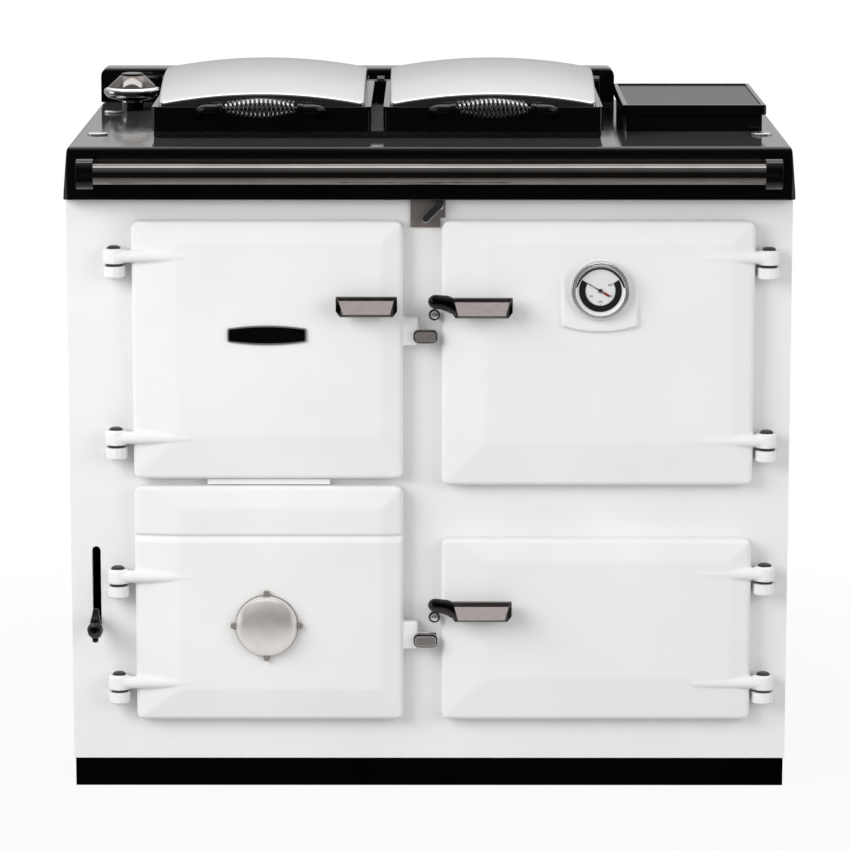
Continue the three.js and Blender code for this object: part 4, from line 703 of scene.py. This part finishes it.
# Millimetres out from the wheel's radius and forward of its back
WHEEL_RIM = [(-3, 0.4), (0.6, 0.4), (0.8, 2.4), (0.2, 4), (-0.8, 4.4), (-3, 0.4)]


def wheel_cap(centre):
    """The wheel's domed shell, open at its back."""
    turns = [math.pi / 2 * k / WHEEL_STEPS for k in range(WHEEL_STEPS)]
    outer = [(WHEEL_RADIUS * math.cos(turn) ** WHEEL_FULLNESS,
              WHEEL_EDGE + (WHEEL_DEPTH - WHEEL_EDGE) * math.sin(turn)) for turn in turns]
    inner_radius, inner_depth = WHEEL_RADIUS - WHEEL_SHELL, WHEEL_DEPTH - WHEEL_SHELL
    inner = [(inner_radius * math.cos(turn), inner_depth * math.sin(turn)) for turn in turns]
    profile = [(0, inner_depth), *reversed(inner), (WHEEL_RADIUS, 0), *outer, (0, WHEEL_DEPTH)]
    return lathe(profile, centre, FORWARD, 96)


def wheel_lug(centre, turn):
    out = Vector((math.cos(turn), 0, math.sin(turn)))
    aside = Vector((-math.sin(turn), 0, math.cos(turn)))
    start = centre + out * (WHEEL_RADIUS - 1 * MM)
    ring = [start + out * u * WHEEL_LUG + aside * v * WHEEL_LUG * WHEEL_LUG_WIDTH
            for u, v in WHEEL_LUG_OUTLINE]
    return prism(ring, [p + Vector((0, -WHEEL_LUG_DEPTH, 0)) for p in ring], turned_over=True)


def spinwheel():
    """The air wheel: a domed pewter cap with four grey lugs and a dark rim."""
    centre = back_of("spinwheel")
    mesh_piece("spinwheel_cap", wheel_cap(centre), PEWTER, "spinwheel", ["spinwheel"])
    lugs = merged(*[wheel_lug(centre, math.pi / 2 * k) for k in range(4)])
    piece = mesh_piece("spinwheel_lugs", lugs, LUG_NICKEL, "spinwheel")
    round_edges(piece, 1 * MM)
    rim = lathe([(WHEEL_RADIUS + r * MM, d * MM) for r, d in WHEEL_RIM], centre, FORWARD, 96)
    mesh_piece("spinwheel_rim", rim, SMOKED_NICKEL, "spinwheel")


spinwheel()

# ---- Thermometer ----
BEZEL_RADIUS = 40.75 * MM
BEZEL_DEPTH = 13 * MM
# Shares of the bezel's radius and depth
BEZEL_ROLL = [(0, 0), (1, 0), (1, 0.36), (0.995, 0.5), (0.98, 0.66), (0.955, 0.8), (0.93, 0.86), (0.9, 0.87),
              (0.895, 0.95), (0.88, 0.99), (0.865, 1.0)]
DIAL_RADIUS = 30 * MM
DIAL_PLAY = 0.2 * MM
DIAL_RECESS = 6 * MM
THROAT_RADIUS = 34.5 * MM
THROAT_WALL = 0.4 * MM
THROAT_DEPTH = 5.3 * MM
# Radius, and share of the bezel's depth
BEZEL_THROAT = [(THROAT_RADIUS, 0.97), (DIAL_RADIUS + 0.6 * MM, 0.56), (DIAL_RADIUS, 0.54), (0, 0.54)]
SHADE_FROM = math.radians(8)
SHADE_TO = math.radians(172)
SHADE_STEPS = 60
SHADE_TAPER = 3 * MM
SHADE_TAPER_DEPTH = 3.6 * MM
# Radius, height over the dial, and 1 where the point climbs the throat towards the shade's ends
SHADE_SECTION = ((DIAL_RADIUS - 0.6 * MM, 0.5 * MM, 1), (THROAT_RADIUS - 1.2 * MM, 5.6 * MM, 0),
                 (THROAT_RADIUS - 0.6 * MM, 5.2 * MM, 0), (DIAL_RADIUS, 0.1 * MM, 1))
BAND_OUTER = 29.3 * MM
BAND_INNER = 20.5 * MM
BAND_OPEN = math.radians(118)
BAND_START = math.pi / 2 + BAND_OPEN / 2
BAND_SWEEP = 2 * math.pi - BAND_OPEN
BAND_STEPS = 48
TICKS = 24
TICK_HALF_ANGLE = 0.012
LONG_TICK = 2.6 * MM
SHORT_TICK = 1.4 * MM
NUMBERS = (0, 100, 200, 300, 400)
NUMBER_SIZE = 4.4 * MM
NUMBER_RADIUS = 15.2 * MM
NUMBER_RELIEF = 0.05 * MM
PRINT_LIFT = 0.25 * MM
NEEDLE_ANGLE = math.radians(150)
NEEDLE_LIFT = 1.6 * MM
NEEDLE_THICKNESS = 0.5 * MM
# Millimetres along the needle and aside
NEEDLE_BLADE = [(24, 0.15), (0, 0.7), (-4, 0.9), (-4, -0.9), (0, -0.7), (24, -0.15)]
NEEDLE_TAIL = [(-3, 0.9), (-9, 1.9), (-13, 1.5), (-14.6, 0), (-13, -1.5), (-9, -1.9), (-3, -0.9)]
NEEDLE_HUB = [(0, 0), (3, 0), (2.8, 1.0), (1.6, 1.5), (0, 1.7)]


def thermometer():
    """A chrome bezel round a white dial with a black band that is open at the top."""
    centre = back_of("thermometer_case")
    profile = [(r * BEZEL_RADIUS, d) for r, d in BEZEL_ROLL] + BEZEL_THROAT
    bezel = lathe([(r, d * BEZEL_DEPTH) for r, d in profile], centre, FORWARD, 96)
    mesh_piece("thermometer_bezel", bezel, BRIGHT_STEEL, "main_oven_door", ["thermometer_case"])
    face_y = centre.y - BEZEL_DEPTH + DIAL_RECESS
    face = Vector((centre.x, face_y, centre.z))
    rim = DIAL_RADIUS - DIAL_PLAY
    disc = lathe([(0, 0), (rim, 0), (rim, PRINT_LIFT), (0, PRINT_LIFT)], face, FORWARD, 64)
    mesh_piece("thermometer_dial", disc, DIAL_WHITE, "main_oven_door")
    throat = lathe([(rim, PRINT_LIFT), (THROAT_RADIUS - THROAT_WALL, THROAT_DEPTH),
                    (THROAT_RADIUS - 2 * THROAT_WALL, THROAT_DEPTH), (rim - THROAT_WALL, PRINT_LIFT),
                    (rim, PRINT_LIFT)], face, FORWARD, 64)
    mesh_piece("thermometer_throat", throat, DIAL_WHITE, "main_oven_door")
    # A black arc of painted shade, where the bezel's inner wall shades the throat
    mesh_piece("thermometer_painted_shade", throat_shade(face), INK_AND_PAINTED_SHADE, "main_oven_door")
    print_y = face_y - PRINT_LIFT
    dial_band(centre, print_y)
    dial_numbers(centre, print_y)
    needle(centre, print_y)


def throat_shade(face):
    """Painted shade: a black arc over the upper part of the throat, which tapers off at both ends."""
    vertices = []
    for i in range(SHADE_STEPS + 1):
        share = i / SHADE_STEPS
        turn = SHADE_FROM + (SHADE_TO - SHADE_FROM) * share
        short = 1 - min(1.0, 4 * share, 4 * (1 - share)) ** 0.5
        for radius, depth, climbs in SHADE_SECTION:
            radius += climbs * short * SHADE_TAPER
            depth += climbs * short * SHADE_TAPER_DEPTH
            vertices.append(face + Vector((radius * math.cos(turn), -depth, radius * math.sin(turn))))
    faces = skin(SHADE_STEPS + 1, 4)
    last = 4 * SHADE_STEPS
    faces += [(3, 2, 1, 0), (last, last + 1, last + 2, last + 3)]
    return vertices, faces


def arc_plate(centre, y, inner, outer, start, end, steps):
    """A thin flat ring segment that stands on the plane y and faces the front."""
    vertices, faces = [], []
    for i in range(steps + 1):
        turn = start + (end - start) * i / steps
        for radius in (inner, outer):
            x, z = centre.x + radius * math.cos(turn), centre.z + radius * math.sin(turn)
            vertices += [Vector((x, y, z)), Vector((x, y - PRINT_LIFT, z))]
    for i in range(steps):
        a, b = 4 * i, 4 * (i + 1)
        for u, v in ((0, 2), (2, 3), (3, 1), (1, 0)):
            faces.append((a + u, a + v, b + v, b + u))
    faces += [(0, 1, 3, 2), (4 * steps + 2, 4 * steps + 3, 4 * steps + 1, 4 * steps)]
    return vertices, faces


def dial_band(centre, y):
    end = math.pi / 2 + 2 * math.pi - BAND_OPEN / 2
    parts = [arc_plate(centre, y, BAND_INNER, BAND_OUTER, BAND_START, end, BAND_STEPS)]
    for k in range(TICKS + 1):
        turn = BAND_START + (end - BAND_START) * k / TICKS
        foot = BAND_INNER - (LONG_TICK if k % 4 == 0 else SHORT_TICK)
        span = (turn - TICK_HALF_ANGLE, turn + TICK_HALF_ANGLE)
        parts.append(arc_plate(centre, y, foot, BAND_INNER + 0.2 * MM, *span, 1))
    mesh_piece("thermometer_scale", merged(*parts), INK_AND_PAINTED_SHADE, "main_oven_door")


def number_plate(name, text, at):
    """A number as a thin flat mesh that faces the front."""
    curve = bpy.data.curves.new(name, "FONT")
    curve.body = text
    curve.size = NUMBER_SIZE
    curve.extrude = NUMBER_RELIEF
    curve.align_x = "CENTER"
    curve.align_y = "CENTER"
    holder = bpy.data.objects.new(name + "_text", curve)
    link(holder)
    holder.rotation_euler = (math.pi / 2, 0, 0)
    holder.location = at
    bpy.context.view_layer.update()
    mesh = bpy.data.meshes.new_from_object(holder.evaluated_get(bpy.context.evaluated_depsgraph_get()))
    mesh.transform(holder.matrix_world)
    bpy.data.objects.remove(holder)
    mesh.materials.clear()
    mesh.materials.append(INK_AND_PAINTED_SHADE)
    piece = bpy.data.objects.new(name, mesh)
    link(piece)
    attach(piece, "main_oven_door")


def dial_numbers(centre, y):
    for k, value in enumerate(NUMBERS):
        turn = BAND_START + BAND_SWEEP * k / (len(NUMBERS) - 1)
        x, z = centre.x + NUMBER_RADIUS * math.cos(turn), centre.z + NUMBER_RADIUS * math.sin(turn)
        number_plate(f"dial_number_{value}", str(value), Vector((x, y - NUMBER_RELIEF, z)))


def needle(centre, y):
    """A thin black pointer with a broad red tail, on a small hub."""
    along = Vector((math.cos(NEEDLE_ANGLE), 0, math.sin(NEEDLE_ANGLE)))
    aside = Vector((-along.z, 0, along.x))
    origin = Vector((centre.x, y - NEEDLE_LIFT, centre.z))

    def blade(outline, lift):
        front = [origin + along * u * MM + aside * v * MM + Vector((0, -lift, 0)) for u, v in outline]
        back = [p + Vector((0, NEEDLE_THICKNESS, 0)) for p in front]
        return prism(front, back, turned_over=True)

    body = "thermometer_pointer"
    mesh_piece("thermometer_needle", blade(NEEDLE_BLADE, 0), INK_AND_PAINTED_SHADE, body, ["thermometer_pointer"])
    mesh_piece("thermometer_needle_tail", blade(NEEDLE_TAIL, 0.1 * MM), NEEDLE_RED, body)
    hub = turned(NEEDLE_HUB, Vector((centre.x, y - 1.0 * MM, centre.z)), FORWARD, 32)
    mesh_piece("thermometer_needle_hub", hub, FINISH["steel"], body)


thermometer()

# ---- Grip faces ----
GRIP_LENGTH = 84 * MM
GRIP_HEIGHT = 28 * MM
FACE_DROP = 4 * MM
FACE_TOP_INSET = 4 * MM
FACE_FOOT_INSET = 9 * MM
FACE_MARGIN = 0.6 * MM
FACE_PROUD = 0.5 * MM


def grip_face(handle, door):
    """The satin panel on the front of a door's grip, narrower at its foot."""
    low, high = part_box(handle)
    foot = low.z + FACE_DROP + FACE_MARGIN
    top = low.z + GRIP_HEIGHT - FACE_DROP - FACE_MARGIN
    left, right = high.x - GRIP_LENGTH, high.x
    corners = [(left + FACE_FOOT_INSET + FACE_MARGIN, foot), (right - FACE_FOOT_INSET - FACE_MARGIN, foot),
               (right - FACE_TOP_INSET - FACE_MARGIN, top), (left + FACE_TOP_INSET + FACE_MARGIN, top)]
    back, front = ([Vector((x, y, z)) for x, z in corners] for y in (low.y + FACE_PROUD, low.y - FACE_PROUD))
    shape = prism(back, front, turned_over=True)
    piece = mesh_piece(f"{handle}_face", shape, SATIN_NICKEL, door)
    round_edges(piece, 0.3 * MM, 2)


for grip, door_body in (("fire_door_handle", "fire_door"), ("main_oven_handle", "main_oven_door"),
                        ("lower_oven_handle", "lower_oven_door")):
    grip_face(grip, door_body)

# ---- Necks and keepers of the oven handles ----
NECK_HALF_HEIGHT = 10 * MM
NECK_RISE = 8 * MM
NECK_FLATNESS = 0.75
NECK_START = 9 * MM
NECK_RAMP = 17 * MM
NECK_TIP_INSET = 1.5 * MM
NECK_SETBACK = 7.5 * MM
NECK_BACK = 15 * MM
NECK_STEPS = 40
NECK_TIP_STEPS = 10
NECK_TIP_ROUNDING = 0.93
NECK_SHARP = 70
KEEPER_COLLAR = [(0, 0), (4.8, 0), (4.8, 19), (8, 25), (8, 27), (7, 29), (0, 29)]
KEEPER_NOSE = [(0, 28.8), (5.6, 28.8), (5.4, 29.8), (4.6, 30.9), (3, 31.7), (0, 32)]


def ease(share):
    """Smooth from 0 to 1."""
    share = min(1.0, max(0.0, share))
    return share * share * (3 - 2 * share)


def handle_neck(handle, door):
    """The broad neck that leads from a grip's left end back towards its keeper."""
    low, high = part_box(handle)
    left = high.x - GRIP_LENGTH
    centre_z = low.z + GRIP_HEIGHT / 2
    tip = low.x + NECK_TIP_INSET
    points = []
    for i in range(NECK_STEPS + 1):
        x = left + NECK_START + (tip - left - NECK_START) * i / NECK_STEPS
        rise = NECK_RISE * ease((left + NECK_START - x) / NECK_RAMP)
        back = NECK_BACK * max(0.0, (left - x) / (left - tip)) ** 2
        points.append(Vector((x, low.y + NECK_SETBACK + back, centre_z + rise)))
    radii = [NECK_HALF_HEIGHT] * (NECK_STEPS + 1)
    for k in range(NECK_TIP_STEPS):
        blunt = 1 - NECK_TIP_ROUNDING * (1 - k / NECK_TIP_STEPS) ** 2
        radii[NECK_STEPS - k] = NECK_HALF_HEIGHT * math.sqrt(blunt)
    up = [Vector(UP)] * (NECK_STEPS + 1)
    shape = tube(points, radii, 28, up, NECK_FLATNESS)
    mesh_piece(f"{handle}_neck", shape, FINISH["dark_nickel"], door, sharp=NECK_SHARP)


def keeper(end):
    """The pin on the front plate that a handle's neck rests on: a dark collar and a bright nose."""
    node = f"latch_keeper_{end}"
    foot = back_of(node)
    # The collar's dark nickel is a painted dark reflection round the pin's edge
    collar = turned(KEEPER_COLLAR, foot, FORWARD, 40)
    mesh_piece(f"{node}_collar", collar, FINISH["dark_nickel"], "root", [node])
    # The nose's bright steel is a painted highlight in the middle of the pin
    nose = turned(KEEPER_NOSE, foot, FORWARD, 40)
    mesh_piece(f"{node}_nose", nose, BRIGHT_STEEL, "root")


for oven, keeper_end in (("main_oven", "upper"), ("lower_oven", "lower")):
    handle_neck(f"{oven}_handle", f"{oven}_door")
    keeper(keeper_end)

# ---- Latch faces ----
LATCH_HALF_LENGTH = 16.5 * MM
LATCH_HALF_HEIGHT = 9 * MM
LATCH_CORNER = 7 * MM
LATCH_ROOT = 1.5 * MM
# The first entry's bright steel ring is a painted highlight on the knob's face
# Name, inset from the knob's outline, how far it stands proud, finish
LATCH_FACES = (("line", 1.8 * MM, 0.3 * MM, BRIGHT_STEEL), ("field", 3.0 * MM, 0.6 * MM, SMOKED_NICKEL))


def latch_face(node, name, inset, proud, finish):
    """A panel on a latch's oval knob."""
    front_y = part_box(node)[0].y
    centre = middle(node)
    half_length, half_height = LATCH_HALF_LENGTH - inset, LATCH_HALF_HEIGHT - inset
    outline = rounded_outline(half_length, half_height, LATCH_CORNER - inset, 8, 2)
    root, front = ([Vector((centre.x + p.x, y, centre.z + p.y)) for p in outline]
                   for y in (front_y + LATCH_ROOT, front_y - proud))
    shape = prism(root, front, turned_over=True)
    piece = mesh_piece(f"{node}_{name}", shape, finish, node)
    round_edges(piece, 0.3 * MM, 2)


for latch_name in ("fire_door_latch", "ash_door_latch"):
    for face_settings in LATCH_FACES:
        latch_face(latch_name, *face_settings)

# ---- Thermostat dial ----
SAUCER = [(0, 0), (16, 0), (16, 3), (24, 3.2), (30, 4.4), (36, 7), (40, 10.4), (42.2, 14), (42.4, 17),
          (41.2, 19.6), (38.6, 21.4), (36, 22.4), (0, 22.6)]
DIAL_CONE = [(0, 21), (35.6, 22.4), (35, 23.2), (34.2, 24.4), (19, 38.4), (17.6, 39.2), (16.6, 39.4),
             (0, 39.4)]
DIAL_CAP = [(0, 39), (16.4, 39), (16.6, 39.6), (16.2, 41.4), (14.6, 42.6), (11, 43.2), (0, 43.4)]
DIAL_SHARP = 50


def thermostat_dial():
    """The control on the hob: a chrome saucer, a broad smoked cone and a low black cap."""
    dial = "thermostat_dial"
    foot = foot_of(dial)
    saucer = turned(SAUCER, foot, UP, 96)
    mesh_piece("thermostat_control", saucer, FINISH["chrome"], dial, [dial], DIAL_SHARP)
    for name, profile, finish in (("cone", DIAL_CONE, SMOKED_CHROME), ("cap", DIAL_CAP, BLACK_ENAMEL)):
        shape = turned(profile, foot, UP, 64)
        mesh_piece(f"thermostat_{name}", shape, finish, dial, sharp=DIAL_SHARP)


thermostat_dial()

# ---- Nameplate, left bare ----
BADGE_X = -0.223
BADGE_Z = 0.646
BADGE_LENGTH = 107 * MM
BADGE_HEIGHT = 27 * MM
BADGE_END_HEIGHT = 18.5 * MM
BADGE_RIM = 1.9 * MM
BADGE_PROUD = 3 * MM
BADGE_BULGE = 1 * MM
BADGE_CORNER = 3 * MM
BADGE_STEPS = 24
# Inset from the outline and depth under the rim's top
BADGE_LEVELS = ((0, BADGE_PROUD), (0, 0.6 * MM), (0.5 * MM, 0), (BADGE_RIM, 0),
                (BADGE_RIM + 0.4 * MM, 1.0 * MM))
FIELD_INSET = BADGE_RIM + 0.3 * MM
FIELD_LEVELS = (1.1 * MM, 0.8 * MM)


def badge():
    """A bare black plate with a polished rim on the fire door."""
    face_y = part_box("fire_door_handle")[1].y + SEAT
    half, end, tall = BADGE_LENGTH / 2, BADGE_END_HEIGHT / 2, BADGE_HEIGHT / 2
    shares = [1 - 2 * i / BADGE_STEPS for i in range(BADGE_STEPS + 1)]
    upper = [(u * half, end + (tall - end) * (1 - u * u)) for u in shares]
    side_x, side_z = half + BADGE_BULGE, end - BADGE_CORNER
    outline = [(side_x, -side_z), (side_x, side_z), *upper, (-side_x, side_z), (-side_x, -side_z),
               *[(-x, -z) for x, z in upper]]

    def ring(inset, depth):
        share_x, share_z = 1 - inset / half, 1 - inset / tall
        y = face_y - (BADGE_PROUD - depth)
        return [Vector((BADGE_X + x * share_x, y, BADGE_Z + z * share_z)) for x, z in outline]

    count = len(outline)
    vertices = [v for level in BADGE_LEVELS for v in ring(*level)]
    faces = [tuple(reversed(range(count))), *skin(len(BADGE_LEVELS), count)]
    faces.append(tuple(range((len(BADGE_LEVELS) - 1) * count, len(BADGE_LEVELS) * count)))
    mesh_piece("fire_door_plate", (vertices, faces), SMOKED_NICKEL, "fire_door")
    field = prism(*[ring(FIELD_INSET, depth) for depth in FIELD_LEVELS])
    mesh_piece("fire_door_plate_field", field, BLACK_ENAMEL, "fire_door")


badge()

# ---- Riddling knob ----
KNOB_AT = Vector((-0.464, -0.3328, 0.234))
KNOB_NECK = [(0.012, 0.027), (0.011, 0.024), (0.009, 0.018), (0.006, 0.012), (0.0, 0.004)]
KNOB_NECK_RADII = [2.4, 4.4, 5.0, 7.0, 9.0]
KNOB_NUB = [(0.0, -0.006), (0.0, -0.011), (-0.0005, -0.013), (-0.001, -0.0165), (-0.001, -0.0185),
            (-0.001, -0.0195)]
KNOB_NUB_RADII = [8.0, 5.2, 4.4, 4.6, 3.8, 1.5]


def riddling_knob():
    """The horn above the round knob, which stays in front of the plate, and the nub under it."""
    parts = []
    for path, radii in ((KNOB_NECK, KNOB_NECK_RADII), (KNOB_NUB, KNOB_NUB_RADII)):
        points = [KNOB_AT + Vector((0, y, z)) for y, z in path]
        parts.append(tube(points, [r * MM for r in radii], 24))
    piece = mesh_piece("riddling_knob_neck", merged(*parts), BLACK_ENAMEL, "riddling_lever")
    rounder = piece.modifiers.new("rounder", "SUBSURF")
    rounder.levels = rounder.render_levels = 2


riddling_knob()

# ---- Hob plugs ----
PLUG_PLACES = [(-0.465, -0.162775), (-0.465, 0.141225), (0.465, -0.162775)]
PLUG_TOP = 0.9075
PLUG_HEIGHT = 2.5 * MM
PLUG_RADIUS = 14 * MM
PLUG_SKIN = 0.3 * MM


def hob_plugs():
    """The thin bright caps on the hob's three plugs."""
    outer = PLUG_RADIUS + PLUG_SKIN
    foot = -PLUG_HEIGHT + PLUG_SKIN
    profile = [(0, -0.2 * MM), (PLUG_RADIUS, -0.2 * MM), (PLUG_RADIUS, foot), (outer, foot),
               (outer, -0.4 * MM), (PLUG_RADIUS - 0.8 * MM, PLUG_SKIN), (0, PLUG_SKIN)]
    caps = merged(*[lathe(profile, (x, y, PLUG_TOP), UP, 40) for x, y in PLUG_PLACES])
    mesh_piece("hob_plug_caps", caps, BRIGHT_STEEL, "root")


hob_plugs()

# ---- Flue cover panel ----
COVER_RIM = 7 * MM
COVER_PLAY = 0.3 * MM
COVER_DEPTH = 325 * MM
COVER_RECESS = 4 * MM
COVER_PANEL = 1.5 * MM
COVER_CORNER = 3 * MM


def cover_panel():
    """The satin panel sunk in the flue cover's frame."""
    low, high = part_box("flue_cover")
    play = COVER_RIM + COVER_PLAY
    x0, x1 = low.x + play, high.x - play
    y0, y1 = low.y + play, low.y + COVER_DEPTH - play
    z = high.z - COVER_RECESS + SEAT
    outline = rounded_outline((x1 - x0) / 2, (y1 - y0) / 2, COVER_CORNER, 5, 1)
    centre = Vector(((x0 + x1) / 2, (y0 + y1) / 2, 0))
    shape = prism(*[[Vector((centre.x + p.x, centre.y + p.y, level)) for p in outline]
                    for level in (z, z + COVER_PANEL)])
    piece = mesh_piece("flue_cover_panel", shape, PANEL_BLACK, "flue_cover")
    round_edges(piece, 0.5 * MM)


cover_panel()

# ---- Floor, background and light ----
FLOOR_HALF = 1.6
FLOOR_LIFT = 0.93
FLOOR_NEAR = 0.9
FLOOR_FAR = 0.35


def background_ray(tree):
    """Light Path, and 1 for rays from the camera or through glass, which see the plain background."""
    path = tree.nodes.new("ShaderNodeLightPath")
    rays = [path.outputs[kind] for kind in ("Is Camera Ray", "Is Transmission Ray")]
    return path, maths(tree, "MAXIMUM", *rays)


def mix_shaders(tree, factor, first, second):
    node = tree.nodes.new("ShaderNodeMixShader")
    for socket, value in zip(node.inputs, (factor, first, second)):
        tree.links.new(value, socket)
    return node.outputs["Shader"]


def add_floor():
    """A pale floor that fades to white away from the cooker, and shows darker in polished parts."""
    mesh = bpy.data.meshes.new("floor")
    signs = ((-1, -1), (1, -1), (1, 1), (-1, 1))
    mesh.from_pydata([(x * FLOOR_HALF, y * FLOOR_HALF, 0) for x, y in signs], [], [(0, 1, 2, 3)])
    floor = bpy.data.objects.new("floor", mesh)
    link(floor)
    made, tree, shader = material("pale_floor")
    fill(shader, {"Base Color": (0.5, 0.5, 0.5, 1), "Roughness": 0.7})
    place = tree.nodes.new("ShaderNodeTexCoord")
    distance = tree.nodes.new("ShaderNodeVectorMath")
    distance.operation = "LENGTH"
    tree.links.new(place.outputs["Object"], distance.inputs[0])
    fade = spread(tree, distance.outputs["Value"], FLOOR_LIFT, 1.0, 0.7, 1.4)
    path, seen = background_ray(tree)
    white = tree.nodes.new("ShaderNodeEmission")
    reflected = tree.nodes.new("ShaderNodeEmission")
    near = spread(tree, distance.outputs["Value"], FLOOR_NEAR, FLOOR_FAR, 0.5, 1.3)
    tree.links.new(near, reflected.inputs["Strength"])
    lit = shader.outputs["BSDF"]
    direct = mix_shaders(tree, maths(tree, "MULTIPLY", fade, seen), lit, white.outputs["Emission"])
    final = mix_shaders(tree, path.outputs["Is Glossy Ray"], direct, reflected.outputs["Emission"])
    tree.links.new(final, tree.nodes["Material Output"].inputs["Surface"])
    mesh.materials.append(made)


AMBIENT = 0.5
STUDIO_FRONT = 0.025
BACKDROP_LOW = 0.45
BACKDROP_HIGH = 1.2
OVERHEAD = 3.8
OVERHEAD_WING = 1.2
STUDIO_ABOVE = 0.45
SIDE_STRIP = 1.3
LIGHT_TARGET = Vector((0, 0, 0.5))
# Name, place, size and watts
LIGHTS = (("key", (-2.8, -2.5, 2.2), (2.6, 2.2), 108), ("fill", (2.6, -2.6, 1.5), (2.2, 2.2), 40))


def combined(tree, operation, first, *others):
    """Values multiplied or added one after the other."""
    for other in others:
        first = maths(tree, operation, first, other)
    return first


def studio_reflection(tree):
    """What polished parts reflect: a pale backdrop, a dark front, a light above and two side strips."""
    place = tree.nodes.new("ShaderNodeTexCoord")
    split = tree.nodes.new("ShaderNodeSeparateXYZ")
    tree.links.new(place.outputs["Generated"], split.inputs["Vector"])
    across, depth, height = (split.outputs[axis] for axis in "XYZ")
    sideways = maths(tree, "ABSOLUTE", across)
    backdrop = combined(tree, "MULTIPLY", spread(tree, height, BACKDROP_LOW, BACKDROP_HIGH, -0.05, 0.65),
                        spread(tree, depth, 0, 1, -0.1, 0.3), spread(tree, height, 1, 0, 0.75, 0.9),
                        spread(tree, sideways, 1, 0.45, 0.3, 0.5))
    wing = spread(tree, depth, OVERHEAD_WING, 0, 0.5, 0.7)
    core = spread(tree, depth, OVERHEAD - OVERHEAD_WING, 0, 0.13, 0.2)
    panel = maths(tree, "MULTIPLY", maths(tree, "ADD", core, wing),
                  spread(tree, depth, 0, 1, -0.13, -0.08))
    top = combined(tree, "MULTIPLY", spread(tree, sideways, 1, 0, 0.42, 0.5), panel,
                   spread(tree, height, 0, 1, 0, 0.1))
    strip = maths(tree, "MULTIPLY", spread(tree, sideways, 0, SIDE_STRIP, 0.955, 0.98),
                  spread(tree, height, 0, 1, -0.25, 0.0))
    room = spread(tree, height, STUDIO_FRONT, STUDIO_ABOVE, 0.35, 1.0)
    return combined(tree, "ADD", backdrop, top, strip, room)


def background(tree):
    node = tree.nodes.new("ShaderNodeBackground")
    fill(node, {"Color": (1, 1, 1, 1)})
    return node.inputs["Strength"], node.outputs["Background"]


def add_world():
    """White to the camera, the studio in reflections, and even light elsewhere."""
    world = bpy.data.worlds.new("studio")
    bpy.context.scene.world = world
    world.use_nodes = True
    tree = world.node_tree
    tree.nodes.clear()
    output = tree.nodes.new("ShaderNodeOutputWorld")
    reflected_strength, reflected = background(tree)
    tree.links.new(studio_reflection(tree), reflected_strength)
    white_strength, white = background(tree)
    white_strength.default_value = 1
    even_strength, even = background(tree)
    even_strength.default_value = AMBIENT
    path, seen = background_ray(tree)
    unseen = mix_shaders(tree, path.outputs["Is Glossy Ray"], even, reflected)
    tree.links.new(mix_shaders(tree, seen, unseen, white), output.inputs["Surface"])


def add_light(name, at, size, watts):
    data = bpy.data.lights.new(name, "AREA")
    data.shape = "RECTANGLE"
    data.size, data.size_y = size
    data.energy = watts
    lamp = bpy.data.objects.new(name, data)
    lamp.visible_glossy = False
    lamp.location = at
    lamp.rotation_euler = (LIGHT_TARGET - Vector(at)).to_track_quat("-Z", "Y").to_euler()
    link(lamp)


add_floor()
add_world()
for lamp_settings in LIGHTS:
    add_light(*lamp_settings)

bpy.context.scene.view_settings.view_transform = "Standard"
